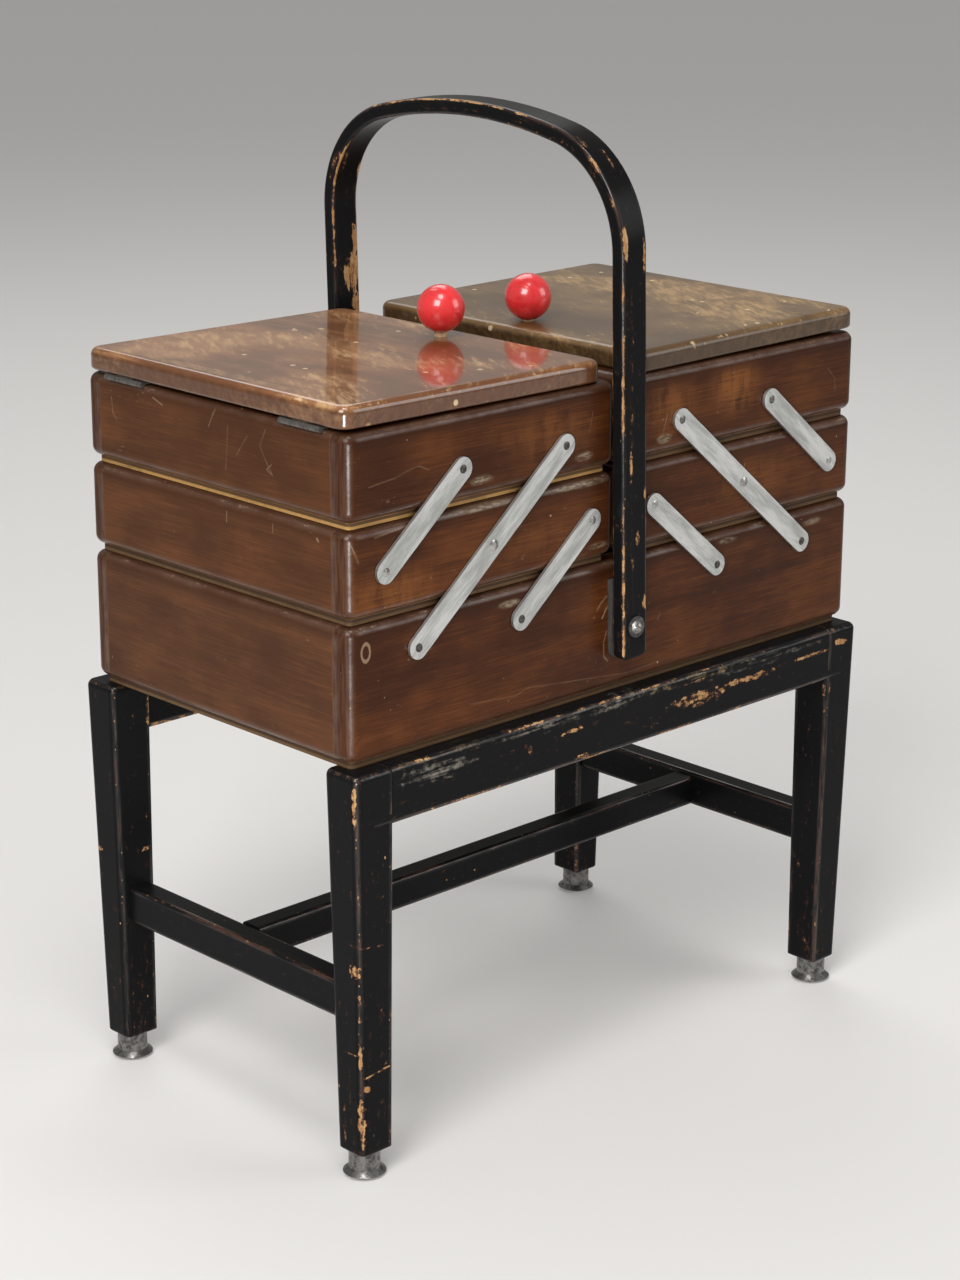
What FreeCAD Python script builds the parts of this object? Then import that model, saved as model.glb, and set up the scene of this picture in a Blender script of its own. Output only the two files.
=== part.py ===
import FreeCAD, Part
import math
import os

os.makedirs("parts", exist_ok=True)

# Sewing box on a stand. Millimetres, +Z up, length along X, front towards -Y.
# The origin is on the floor, under the middle of the box.

# Stand
glide_height = 17.0          # floor to the end of a leg
glide_neck_d = 19.0
glide_rim_d = 26.0
glide_rim_height = 5.0
glide_sole_d = 18.0          # flat that touches the floor
glide_sole_rise = 2.0        # from the flat up to the rim
glide_spike_d = 3.0
glide_spike_length = 12.0
leg_length = 239.5
leg_size = 28.5              # square, at the top
leg_foot_size = 23.4         # square, at the foot
leg_foot_in = 2.4            # the foot stands in from the top, along the box
leg_foot_chamfer = 0.8
leg_corner_r = 5.0           # on the outside
leg_top_r = 4.5
leg_inner_r = 1.2            # beside the rail
stand_margin_x = 3.25        # the stand's outside past the box, at the ends
stand_margin_y = 8.25        # and at the front and the back
rail_height = 34.5
rail_thickness = 22.0
rail_setback = 0.3           # behind the outside of the legs
rail_top_r = 4.5
rail_under_r = 2.0
stretcher_height = 24.0
stretcher_thickness = 16.5
stretcher_setback = 9.5      # behind the outside of the legs
left_stretcher_level = 97.0  # underside above the floor
right_stretcher_level = 100.5
centre_stretcher_level = 101.0
centre_stretcher_height = 21.0
stretcher_edge_r = 2.5
stand_screw_d = 4.0
stand_screw_head_d = 7.0
stand_screw_head_height = 2.6
stand_screw_pocket = 11.0    # depth of the head's pocket in the rail
stand_screw_bite = 16.0      # length in the case board
stand_screw_x = 120.0        # from the middle

# Lower case and trays
case_length = 440.0
case_depth = 238.0
case_height = 80.5           # boards only
tray_height = 51.2           # boards only
wall = 14.0
corner_r = 8.0               # upright corners
edge_r = 6.0                 # top and bottom outer edges
bottom_thickness = 4.0       # plywood
bottom_inset = 5.0           # plywood behind the outside of the boards
tray_split = 10.0            # between the left and the right trays
rest_gap = 0.3               # between pieces that lie on each other but move apart

# Lids
lid_thickness = 13.4
lid_end_overhang = 1.0       # past the outer end of the tray
lid_side_inset = 2.0         # behind the front and the back of the tray
lid_inner_inset = 10.0       # short of the inner end of the tray
lid_corner_r = 9.0
lid_top_r = 5.0
lid_under_r = 2.0

# Knobs
knob_d = 29.6
knob_inset = 23.0            # centre from the inner edge of the lid
knob_peg_d = 8.0
knob_peg_bite = 12.0         # length of the peg in the ball
left_knob_neck = 2.4         # lid to the underside of the ball
right_knob_neck = 0.3

# Lid hinges
hinge_length = 35.0
hinge_offset = 80.0          # centre from the middle of the box
hinge_barrel_d = 3.8
hinge_pin_d = 1.8
hinge_pin_play = 0.05
hinge_knuckle = 14.0         # length of the middle knuckle
hinge_knuckle_gap = 0.2
hinge_axis_in = 0.2          # inside the outer end of the tray
hinge_axis_drop = 0.1        # below the rim of the tray
leaf_thickness = 1.0
leaf_width = 11.5            # from the hinge axis inwards
leaf_gap = 0.2               # between the two closed leaves
leaf_clear = 0.4             # round the other leaf's knuckle

# Link bars and their pivots. The shares are of half the length of the case.
bar_width = 14.0
bar_thickness = 2.0
bar_gap = 0.4                # between a bar and the boards
bar_run_share = 0.269        # between two pivots of a bar, along the box
bar_rise = 49.4              # and upwards, with the box closed
case_pivot_drop = 20.0       # below the rim of the lower case
long_pivot_share = 0.232     # lower pivot of the long bar from the end of the case
inner_bar_share = 0.374      # from the long bar towards the middle
outer_bar_share = 0.381      # from the long bar towards the end
pin_d = 3.2
pin_play = 0.06              # round a pin that carries a bar
pin_open_play = 0.12         # round a pin at the far end of a short bar
pin_bite = 9.0               # length of a pin in a board
pin_head_d = 5.2
pin_head_height = 0.6
mid_pin_head_d = 7.0         # domed head in the middle of a long bar
mid_pin_head_height = 1.0
pin_head_gap = 0.05

# Handle
handle_width = 21.0
handle_thickness = 9.8
handle_edge_r = 2.2
handle_pivot_drop = 40.2     # below the rim of the lower case
handle_foot = 20.5           # below the pivot
handle_foot_r = 5.0          # lower corners
handle_rise = 307.5          # from the pivot to the top of the bow
bow_crown_r = 340.0          # outside of the bow
bow_shoulder_r = 72.5        # outside of the bow
handle_lean = 1.7            # degrees to the left, as it stands
handle_hole_play = 0.06
spacer_thickness = 3.5
spacer_height = 50.0
spacer_run_gap = 0.3         # between the spacer and the case
handle_screw_d = 5.0
handle_screw_bite = 12.0     # length in the case board
handle_screw_head_d = 8.8
handle_screw_head_height = 3.0
handle_slot_width = 1.2
handle_slot_depth = 1.2
handle_slot_turn = 30.0      # degrees
washer_d = 13.5
washer_thickness = 1.0
washer_gap = 0.1             # between the washer and the bow

# Heights and faces that follow from the sizes above
half_length = case_length / 2
half_depth = case_depth / 2
leg_top = glide_height + leg_length
leg_x = half_length + stand_margin_x - leg_size / 2
leg_y = half_depth + stand_margin_y - leg_size / 2
foot_x = leg_x - leg_foot_in
case_bottom = leg_top + bottom_thickness
case_rim = case_bottom + case_height
middle_bottom = case_rim + rest_gap + bottom_thickness
middle_rim = middle_bottom + tray_height
upper_bottom = middle_rim + rest_gap + bottom_thickness
upper_rim = upper_bottom + tray_height
tray_inner = tray_split / 2
lid_under = upper_rim + 2 * leaf_thickness + leaf_gap
lid_outer = half_length + lid_end_overhang
lid_inner = tray_inner + lid_inner_inset
lid_half_width = half_depth - lid_side_inset
hinge_x = half_length - hinge_axis_in
hinge_z = upper_rim - hinge_axis_drop
lid_settle = math.degrees(math.atan2(lid_under - upper_rim - rest_gap, hinge_x - lid_inner))
case_pivot_z = case_rim - case_pivot_drop
middle_pivot_z = case_pivot_z + bar_rise
upper_pivot_z = middle_pivot_z + bar_rise
bar_run = half_length * bar_run_share
long_case_x = half_length * (1 - long_pivot_share)
long_middle_x = long_case_x - bar_run
long_upper_x = long_middle_x - bar_run
inner_case_x = long_case_x - half_length * inner_bar_share
inner_middle_x = inner_case_x - bar_run
outer_middle_x = long_middle_x + half_length * outer_bar_share
outer_upper_x = outer_middle_x - bar_run
handle_z = case_rim - handle_pivot_drop
bow_inside = half_depth + spacer_run_gap + spacer_thickness
bow_outside = bow_inside + handle_thickness
handle_screw_seat = bow_outside + washer_gap + washer_thickness

FRONT, BACK = -1, 1
LEFT, RIGHT = -1, 1
CUT = 1.0                    # how far a cutting shape runs past what it cuts
SAME = 1e-4                  # places closer than this are one place


def vec(x, y, z):
    return FreeCAD.Vector(x, y, z)


def block(low, high):
    """Box between two opposite corners."""
    return Part.makeBox(high[0] - low[0], high[1] - low[1], high[2] - low[2], vec(*low))


def rod(start, end, diameter):
    """Round bar between two points."""
    along = vec(*end).sub(vec(*start))
    return Part.makeCylinder(diameter / 2, along.Length, vec(*start), along)


def edges_at(shape, level):
    """Edges that lie flat at one height."""
    found = []
    for edge in shape.Edges:
        box = edge.BoundBox
        if abs(box.ZMin - level) < SAME and abs(box.ZMax - level) < SAME:
            found.append(edge)
    return found


def upright_edges(shape):
    """Straight edges that run along Z."""
    return [e for e in shape.Edges if e.BoundBox.XLength < SAME and e.BoundBox.YLength < SAME]


def lengthwise_edges(shape, axis):
    """Straight edges that run along one axis, X or Y."""
    found = []
    for edge in shape.Edges:
        box = edge.BoundBox
        across = box.YLength if axis == "X" else box.XLength
        if across < SAME and box.ZLength < SAME:
            found.append(edge)
    return found


def mirrored(shape):
    """The same piece on the other half of the box."""
    return shape.mirror(vec(0, 0, 0), vec(1, 0, 0))


def on_half(shape, half):
    """Pieces are drawn on the right half, and mirrored for the left."""
    return shape if half == RIGHT else mirrored(shape)


def revolved(points):
    """Solid turned round the Z axis from (radius, height) points."""
    outline = Part.makePolygon([vec(r, 0, z) for r, z in points + points[:1]])
    return Part.Face(outline).revolve(vec(0, 0, 0), vec(0, 0, 1), 360)


def leg_blank(x_side, y_side):
    """Square leg that tapers down to its foot, most on the outside, with sharp edges."""
    top, foot = leg_size / 2, leg_foot_size / 2
    shift = -x_side * leg_foot_in
    body = Part.makeWedge(-top, 0, -top, -foot, shift - foot, top, leg_length, top, foot, shift + foot)
    body.rotate(vec(0, 0, 0), vec(1, 0, 0), -90)
    body.translate(vec(x_side * leg_x, y_side * leg_y, leg_top))
    return body


def leg_edges(shape, x_side, outer):
    """Upright edges of a leg, on the outside or on the inside of the stand."""
    sloped = [e for e in shape.Edges if e.BoundBox.ZLength > leg_length / 2]
    return [e for e in sloped if (x_side * e.BoundBox.Center.x > (leg_x + foot_x) / 2) == outer]


def leg(blank, x_side, y_side):
    """Leg with its edges rounded and a hole for the glide's spike."""
    body = blank.makeFillet(leg_corner_r, leg_edges(blank, x_side, True))
    inside = leg_x - leg_size / 2
    rim = [e for e in edges_at(body, leg_top) if x_side * e.BoundBox.Center.x > inside + CUT]
    body = body.makeFillet(leg_top_r, rim)
    body = body.makeFillet(leg_inner_r, leg_edges(body, x_side, False))
    body = body.makeChamfer(leg_foot_chamfer, edges_at(body, glide_height))
    x, y = x_side * foot_x, y_side * leg_y
    spike_top = glide_height + glide_spike_length
    return body.cut(rod((x, y, glide_height - CUT), (x, y, spike_top), glide_spike_d))


def glide(x_side, y_side):
    """Metal glide: a cup with a flared rim and a spike in the leg."""
    rim = glide_rim_d / 2
    neck = glide_neck_d / 2
    spike = glide_spike_d / 2
    spike_top = glide_height + glide_spike_length
    shape = revolved([
        (0, 0), (glide_sole_d / 2, 0), (rim, glide_sole_rise), (neck, glide_rim_height),
        (neck, glide_height), (spike, glide_height), (spike, spike_top), (0, spike_top)])
    shape.translate(vec(x_side * foot_x, y_side * leg_y, 0))
    return shape


def rail(side, posts):
    """Top rail between two legs, fitted to their inner faces."""
    outside = half_depth + stand_margin_y - rail_setback
    y0, y1 = sorted((side * outside, side * (outside - rail_thickness)))
    body = block((-leg_x, y0, leg_top - rail_height), (leg_x, y1, leg_top))
    outer = [e for e in lengthwise_edges(body, "X") if abs(e.BoundBox.YMin - side * outside) < SAME]
    upper = [e for e in outer if e.BoundBox.ZMin > leg_top - CUT]
    body = body.makeFillet(rail_top_r, upper)
    outer = [e for e in lengthwise_edges(body, "X") if abs(e.BoundBox.YMin - side * outside) < SAME]
    lower = [e for e in outer if e.BoundBox.ZMin < leg_top - rail_height + CUT]
    body = body.makeFillet(rail_under_r, lower)
    for post in posts:
        body = body.cut(post)
    for x in (-stand_screw_x, stand_screw_x):
        body = body.cut(stand_screw_hole(x, side))
    return body


def stand_screw_y(side):
    """The screws go up where the plywood lies under the case boards, in the middle."""
    return side * (half_depth - (bottom_inset + wall) / 2)


def stand_screw_seat():
    return leg_top - rail_height + stand_screw_pocket


def stand_screw_hole(x, side):
    """Screw hole and head pocket, from under the rail."""
    y = stand_screw_y(side)
    hole = rod((x, y, leg_top - rail_height - CUT), (x, y, case_bottom + stand_screw_bite), stand_screw_d)
    pocket = rod((x, y, leg_top - rail_height - CUT), (x, y, stand_screw_seat()), stand_screw_head_d)
    return hole.fuse(pocket)


def stand_screw(x, side):
    """Pan-head screw from the rail into the case."""
    y = stand_screw_y(side)
    seat = stand_screw_seat()
    shank = rod((x, y, seat), (x, y, case_bottom + stand_screw_bite), stand_screw_d)
    cap = rod((x, y, seat - stand_screw_head_height), (x, y, seat), stand_screw_head_d)
    return shank.fuse(cap).removeSplitter()


def end_stretcher(side, level, posts):
    """Low stretcher between the front and the back leg of one end."""
    outside = half_length + stand_margin_x - stretcher_setback
    x0, x1 = sorted((side * outside, side * (outside - stretcher_thickness)))
    body = block((x0, -leg_y, level), (x1, leg_y, level + stretcher_height))
    body = body.makeFillet(stretcher_edge_r, lengthwise_edges(body, "Y"))
    for post in posts:
        body = body.cut(post)
    return body


def centre_stretcher():
    """Stretcher that joins the two end stretchers."""
    reach = half_length + stand_margin_x - stretcher_setback - stretcher_thickness
    half = stretcher_thickness / 2
    top = centre_stretcher_level + centre_stretcher_height
    body = block((-reach, -half, centre_stretcher_level), (reach, half, top))
    return body.makeFillet(stretcher_edge_r, lengthwise_edges(body, "X"))


def board_ring(x0, x1, z0, z1):
    """Four walls in one, rounded on the outside, before they are parted into boards."""
    body = block((x0, -half_depth, z0), (x1, half_depth, z1))
    body = body.makeFillet(corner_r, upright_edges(body))
    body = body.makeFillet(edge_r, edges_at(body, z0) + edges_at(body, z1))
    inside = block((x0 + wall, -half_depth + wall, z0 - CUT), (x1 - wall, half_depth - wall, z1 + CUT))
    return body.cut(inside)


def long_board(ring, side, x0, x1, z0, z1):
    """Front or back board: it runs the full length."""
    y0, y1 = sorted((side * (half_depth + CUT), side * (half_depth - wall)))
    return ring.common(block((x0 - CUT, y0, z0 - CUT), (x1 + CUT, y1, z1 + CUT)))


def end_boards(ring, x0, x1, z0, z1):
    """The two end boards, between the front and the back board, lower X first."""
    y = half_depth - wall
    low = ring.common(block((x0 - CUT, -y, z0 - CUT), (x0 + wall, y, z1 + CUT)))
    high = ring.common(block((x1 - wall, -y, z0 - CUT), (x1 + CUT, y, z1 + CUT)))
    return low, high


def bottom_board(x0, x1, z1):
    """Plywood bottom under the boards."""
    low = (x0 + bottom_inset, -half_depth + bottom_inset, z1 - bottom_thickness)
    high = (x1 - bottom_inset, half_depth - bottom_inset, z1)
    body = block(low, high)
    return body.makeFillet(corner_r - bottom_inset, upright_edges(body))


def drilled(board, pivots, side):
    """Board with a blind hole for each pivot pin."""
    for x, z in pivots:
        start = (x, side * (half_depth + CUT), z)
        end = (x, side * (half_depth - pin_bite), z)
        board = board.cut(rod(start, end, pin_d))
    return board


def head(x, z, side, base, diameter, height):
    """Low domed head that stands on a plane in front of the boards."""
    radius = (height * height + diameter * diameter / 4) / (2 * height)
    ball = Part.makeSphere(radius, vec(x, side * (base + height - radius), z))
    return ball.common(rod((x, side * base, z), (x, side * (base + height + CUT), z), diameter))


def pivot_pin(x, z, side, domed=False):
    """Pin that is driven into a board and carries a bar under its head."""
    base = half_depth + bar_gap + bar_thickness + pin_head_gap
    shank = rod((x, side * (half_depth - pin_bite), z), (x, side * base, z), pin_d)
    if domed:
        top = head(x, z, side, base, mid_pin_head_d, mid_pin_head_height)
    else:
        top = head(x, z, side, base, pin_head_d, pin_head_height)
    return shank.fuse(top).removeSplitter()


def bar(pivots, side, open_end):
    """Flat bar with round ends through its pivots, lowest pivot first."""
    (x0, z0), (x1, z1) = pivots[0], pivots[-1]
    length = math.hypot(x1 - x0, z1 - z0)
    ux, uz = (x1 - x0) / length, (z1 - z0) / length
    r = bar_width / 2
    y = side * (half_depth + bar_gap)

    def at(x, z, along, across):
        return vec(x + r * (along * ux - across * uz), y, z + r * (along * uz + across * ux))

    edges = [
        Part.LineSegment(at(x0, z0, 0, -1), at(x1, z1, 0, -1)).toShape(),
        Part.Arc(at(x1, z1, 0, -1), at(x1, z1, 1, 0), at(x1, z1, 0, 1)).toShape(),
        Part.LineSegment(at(x1, z1, 0, 1), at(x0, z0, 0, 1)).toShape(),
        Part.Arc(at(x0, z0, 0, 1), at(x0, z0, -1, 0), at(x0, z0, 0, -1)).toShape(),
    ]
    body = Part.Face(Part.Wire(edges)).extrude(vec(0, side * bar_thickness, 0))
    for n, (x, z) in enumerate(pivots):
        play = pin_open_play if open_end and n == len(pivots) - 1 else pin_play
        start = (x, side * half_depth, z)
        end = (x, side * (half_depth + bar_gap + bar_thickness + CUT), z)
        body = body.cut(rod(start, end, pin_d + 2 * play))
    return body


def settled(shape):
    """A lid leans down a little from its hinges, on to the rim of the tray."""
    turned = shape.copy()
    turned.rotate(vec(hinge_x, 0, hinge_z), vec(0, 1, 0), -lid_settle)
    return turned


def lid_board():
    """Lid with round corners, before it is settled."""
    low = (lid_inner, -lid_half_width, lid_under)
    high = (lid_outer, lid_half_width, lid_under + lid_thickness)
    body = block(low, high)
    body = body.makeFillet(lid_corner_r, upright_edges(body))
    body = body.makeFillet(lid_top_r, edges_at(body, high[2]))
    body = body.makeFillet(lid_under_r, edges_at(body, low[2]))
    return body.cut(knob_hole())


def knob_x():
    return lid_inner + knob_inset


def knob_hole():
    """Hole for the peg, right through the lid."""
    top = lid_under + lid_thickness + CUT
    return rod((knob_x(), 0, lid_under - CUT), (knob_x(), 0, top), knob_peg_d)


def ball_bottom(neck):
    return lid_under + lid_thickness + neck


def knob_ball(neck):
    """Ball with a blind hole for the peg."""
    low = ball_bottom(neck)
    ball = Part.makeSphere(knob_d / 2, vec(knob_x(), 0, low + knob_d / 2))
    return ball.cut(rod((knob_x(), 0, low - CUT), (knob_x(), 0, low + knob_peg_bite), knob_peg_d))


def knob_peg(neck):
    """Wooden peg from the underside of the lid into the ball."""
    return rod((knob_x(), 0, lid_under), (knob_x(), 0, ball_bottom(neck) + knob_peg_bite), knob_peg_d)


def barrel(y0, y1, diameter):
    """Round piece on the hinge axis."""
    return rod((hinge_x, y0, hinge_z), (hinge_x, y1, hinge_z), diameter)


def tray_leaf(y):
    """Leaf on the rim of the tray, with the two outer knuckles."""
    half = hinge_length / 2
    gap = hinge_knuckle / 2 + hinge_knuckle_gap
    plate = block((hinge_x - leaf_width, y - half, upper_rim), (hinge_x, y + half, upper_rim + leaf_thickness))
    room = barrel(y - gap, y + gap, hinge_barrel_d + 2 * leaf_clear)
    body = plate.cut(room)
    body = body.cut(block((hinge_x - CUT, y - gap, upper_rim - CUT), (hinge_x + CUT, y + gap, lid_under)))
    for y0, y1 in ((y - half, y - gap), (y + gap, y + half)):
        body = body.fuse(barrel(y0, y1, hinge_barrel_d))
    return body.cut(barrel(y - half - CUT, y + half + CUT, hinge_pin_d)).removeSplitter()


def lid_leaf(y):
    """Leaf under the lid, with the middle knuckle."""
    half = hinge_length / 2
    gap = hinge_knuckle / 2
    plate = block((hinge_x - leaf_width, y - half, lid_under - leaf_thickness), (hinge_x, y + half, lid_under))
    for y0, y1 in ((y - half - CUT, y - gap), (y + gap, y + half + CUT)):
        plate = plate.cut(barrel(y0, y1, hinge_barrel_d + 2 * leaf_clear))
        plate = plate.cut(block((hinge_x - hinge_barrel_d / 2, y0, upper_rim), (hinge_x + CUT, y1, lid_under + CUT)))
    body = plate.fuse(barrel(y - gap, y + gap, hinge_barrel_d))
    bore = hinge_pin_d + 2 * hinge_pin_play
    return body.cut(barrel(y - half - CUT, y + half + CUT, bore)).removeSplitter()


def hinge_pin(y):
    half = hinge_length / 2
    return barrel(y - half, y + half, hinge_pin_d)


def leaning(shape):
    """The bow stands a few degrees off upright."""
    turned = shape.copy()
    turned.rotate(vec(0, 0, handle_z), vec(0, 1, 0), -handle_lean)
    return turned


def bow_side(offset):
    """Points of one edge of the bow, from the front foot to the back foot."""
    crown_z = handle_z + handle_rise - bow_crown_r
    arm = bow_outside - bow_shoulder_r
    shoulder_z = crown_z + math.sqrt((bow_crown_r - bow_shoulder_r) ** 2 - arm ** 2)
    tilt = math.atan2(shoulder_z - crown_z, arm)
    small = bow_shoulder_r - offset
    large = bow_crown_r - offset
    flat = bow_outside - offset

    def shoulder(angle):
        return arm + small * math.cos(angle), shoulder_z + small * math.sin(angle)

    joint = (large * math.cos(tilt), crown_z + large * math.sin(tilt))
    quarter = shoulder(tilt / 2)
    half = [(flat, handle_z - handle_foot), (flat, shoulder_z), quarter, joint]
    front = [(-y, z) for y, z in half]
    return front + [(0, crown_z + large)] + half[::-1]


def bow():
    """Bent-wood bow: two straight legs, two shoulders and a flat crown."""
    x = -handle_width / 2
    outer = [vec(x, y, z) for y, z in bow_side(0)]
    inner = [vec(x, y, z) for y, z in bow_side(handle_thickness)]
    edges = []
    for line in (outer, inner):
        edges.append(Part.LineSegment(line[0], line[1]).toShape())
        for n in (1, 3, 5):
            edges.append(Part.Arc(line[n], line[n + 1], line[n + 2]).toShape())
        edges.append(Part.LineSegment(line[7], line[8]).toShape())
    edges.append(Part.LineSegment(outer[0], inner[0]).toShape())
    edges.append(Part.LineSegment(outer[8], inner[8]).toShape())
    wire = Part.Wire(Part.__sortEdges__(edges))
    body = Part.Face(wire).extrude(vec(handle_width, 0, 0))
    body = body.makeFillet(handle_foot_r, foot_corners(body))
    along = lengthwise_edges(body, "Y")
    body = body.makeFillet(handle_edge_r, [e for e in body.Edges if not any(e.isSame(f) for f in along)])
    for side in (FRONT, BACK):
        body = body.cut(handle_hole(side))
    return body


def foot_corners(shape):
    """Lower corner edges of the handle's feet, from front to back."""
    return [e for e in lengthwise_edges(shape, "Y") if e.BoundBox.ZMin < handle_z - handle_foot + CUT]


def handle_hole(side):
    start = (0, side * half_depth, handle_z)
    end = (0, side * (bow_outside + CUT), handle_z)
    return rod(start, end, handle_screw_d + 2 * handle_hole_play)


def spacer(side):
    """Block that keeps the end of the bow off the case."""
    y0, y1 = sorted((side * bow_inside, side * (bow_inside - spacer_thickness)))
    foot = handle_z - handle_foot
    body = block((-handle_width / 2, y0, foot), (handle_width / 2, y1, foot + spacer_height))
    body = body.makeFillet(handle_foot_r, foot_corners(body))
    return body.cut(handle_hole(side))


def washer(side):
    ring = rod((0, side * (bow_outside + washer_gap), handle_z), (0, side * handle_screw_seat, handle_z), washer_d)
    hole = rod((0, side * half_depth, handle_z), (0, side * (handle_screw_seat + CUT), handle_z), handle_screw_d)
    return ring.cut(hole)


def handle_screw(side):
    """Round-head slotted screw that the bow turns on."""
    shank = rod((0, side * (half_depth - handle_screw_bite), handle_z), (0, side * handle_screw_seat, handle_z),
                handle_screw_d)
    top = head(0, handle_z, side, handle_screw_seat, handle_screw_head_d, handle_screw_head_height)
    body = shank.fuse(top).removeSplitter()
    reach = handle_screw_seat + handle_screw_head_height
    y0, y1 = sorted((side * (reach - handle_slot_depth), side * (reach + CUT)))
    slot = block((-handle_screw_head_d, y0, handle_z - handle_slot_width / 2),
                 (handle_screw_head_d, y1, handle_z + handle_slot_width / 2))
    body = body.cut(slot)
    body.rotate(vec(0, 0, handle_z), vec(0, 1, 0), handle_slot_turn)
    return body


def save(name, solids):
    """Writes one node, of one solid or of a group of them."""
    shape = solids[0] if len(solids) == 1 else Part.makeCompound(solids)
    shape.exportStep("parts/" + name + ".step")


def build_stand():
    posts = {}
    for y_side, y_name in ((FRONT, "front"), (BACK, "back")):
        for x_side, x_name in ((LEFT, "left"), (RIGHT, "right")):
            posts[x_side, y_side] = leg_blank(x_side, y_side)
            save(x_name + "_" + y_name + "_leg", [leg(posts[x_side, y_side], x_side, y_side)])
    save("leg_glides", [glide(x, y) for x, y in posts])
    for side, name in ((FRONT, "front"), (BACK, "back")):
        save(name + "_rail", [rail(side, [posts[LEFT, side], posts[RIGHT, side]])])
    for side, name, level in ((LEFT, "left", left_stretcher_level), (RIGHT, "right", right_stretcher_level)):
        save(name + "_stretcher", [end_stretcher(side, level, [posts[side, FRONT], posts[side, BACK]])])
    save("centre_stretcher", [centre_stretcher()])
    places = [(x, side) for side in (FRONT, BACK) for x in (-stand_screw_x, stand_screw_x)]
    save("stand_screws", [stand_screw(x, side) for x, side in places])


def case_pivots():
    """Places of the pivots on the lower case, both halves."""
    return [(half * x, case_pivot_z) for half in (LEFT, RIGHT) for x in (long_case_x, inner_case_x)]


def build_case():
    size = (-half_length, half_length, case_bottom, case_rim)
    ring = board_ring(*size)
    for side, name in ((FRONT, "front"), (BACK, "back")):
        board = drilled(long_board(ring, side, *size), case_pivots(), side)
        start = (0, side * (half_depth + CUT), handle_z)
        end = (0, side * (half_depth - handle_screw_bite), handle_z)
        board = board.cut(rod(start, end, handle_screw_d))
        for x in (-stand_screw_x, stand_screw_x):
            board = board.cut(stand_screw_hole(x, side))
        save("case_" + name, [board])
    left, right = end_boards(ring, *size)
    save("case_left_end", [left])
    save("case_right_end", [right])
    bottom = bottom_board(-half_length, half_length, case_bottom)
    for side in (FRONT, BACK):
        for x in (-stand_screw_x, stand_screw_x):
            bottom = bottom.cut(stand_screw_hole(x, side))
    save("case_bottom", [bottom])
    save("case_pivot_pins", [pivot_pin(x, z, side) for side in (FRONT, BACK) for x, z in case_pivots()])


def build_tray(half, name, z0, z1, pivots, domed):
    """One tray: boards, bottom and the pins that stand in its boards."""
    size = (tray_inner, half_length, z0, z1)
    ring = board_ring(*size)
    pins = []
    for side, side_name in ((FRONT, "front"), (BACK, "back")):
        board = drilled(long_board(ring, side, *size), pivots, side)
        save(name + "_" + side_name, [on_half(board, half)])
        pins += [pivot_pin(x, z, side, (x, z) == domed) for x, z in pivots]
    save(name + "_ends", [on_half(board, half) for board in end_boards(ring, *size)])
    save(name + "_bottom", [on_half(bottom_board(tray_inner, half_length, z0), half)])
    save(name + "_pins", [on_half(pin, half) for pin in pins])


def build_lid(half, name, neck):
    """Lid, knob and hinges of one half."""
    hinges = (-hinge_offset, hinge_offset)
    save(name + "_lid", [on_half(settled(lid_board()), half)])
    save(name + "_knob", [on_half(settled(knob_ball(neck)), half)])
    save(name + "_knob_peg", [on_half(settled(knob_peg(neck)), half)])
    save(name + "_hinge_lid_leaves", [on_half(settled(lid_leaf(y)), half) for y in hinges])
    save(name + "_hinge_tray_leaves", [on_half(tray_leaf(y), half) for y in hinges])
    save(name + "_hinge_pins", [on_half(hinge_pin(y), half) for y in hinges])


def build_half(half, name, neck):
    """Trays, bars and lid of one half of the box."""
    long_case = (long_case_x, case_pivot_z)
    long_middle = (long_middle_x, middle_pivot_z)
    long_upper = (long_upper_x, upper_pivot_z)
    inner_case = (inner_case_x, case_pivot_z)
    inner_middle = (inner_middle_x, middle_pivot_z)
    outer_middle = (outer_middle_x, middle_pivot_z)
    outer_upper = (outer_upper_x, upper_pivot_z)
    middle = [outer_middle, long_middle, inner_middle]
    upper = [outer_upper, long_upper]
    build_tray(half, name + "_middle_tray", middle_bottom, middle_rim, middle, long_middle)
    build_tray(half, name + "_upper_tray", upper_bottom, upper_rim, upper, None)
    bars = {
        "long": ([long_case, long_middle, long_upper], False),
        "inner": ([inner_case, inner_middle], True),
        "outer": ([outer_middle, outer_upper], True),
    }
    for kind, (pivots, open_end) in bars.items():
        pair = [bar(pivots, side, open_end) for side in (FRONT, BACK)]
        save(name + "_" + kind + "_bars", [on_half(piece, half) for piece in pair])
    build_lid(half, name, neck)


def build_handle():
    save("handle_bow", [leaning(bow())])
    save("handle_spacers", [leaning(spacer(side)) for side in (FRONT, BACK)])
    save("handle_washers", [washer(side) for side in (FRONT, BACK)])
    save("handle_screws", [handle_screw(side) for side in (FRONT, BACK)])


build_stand()
build_case()
build_half(LEFT, "left", left_knob_neck)
build_half(RIGHT, "right", right_knob_neck)
build_handle()
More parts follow.
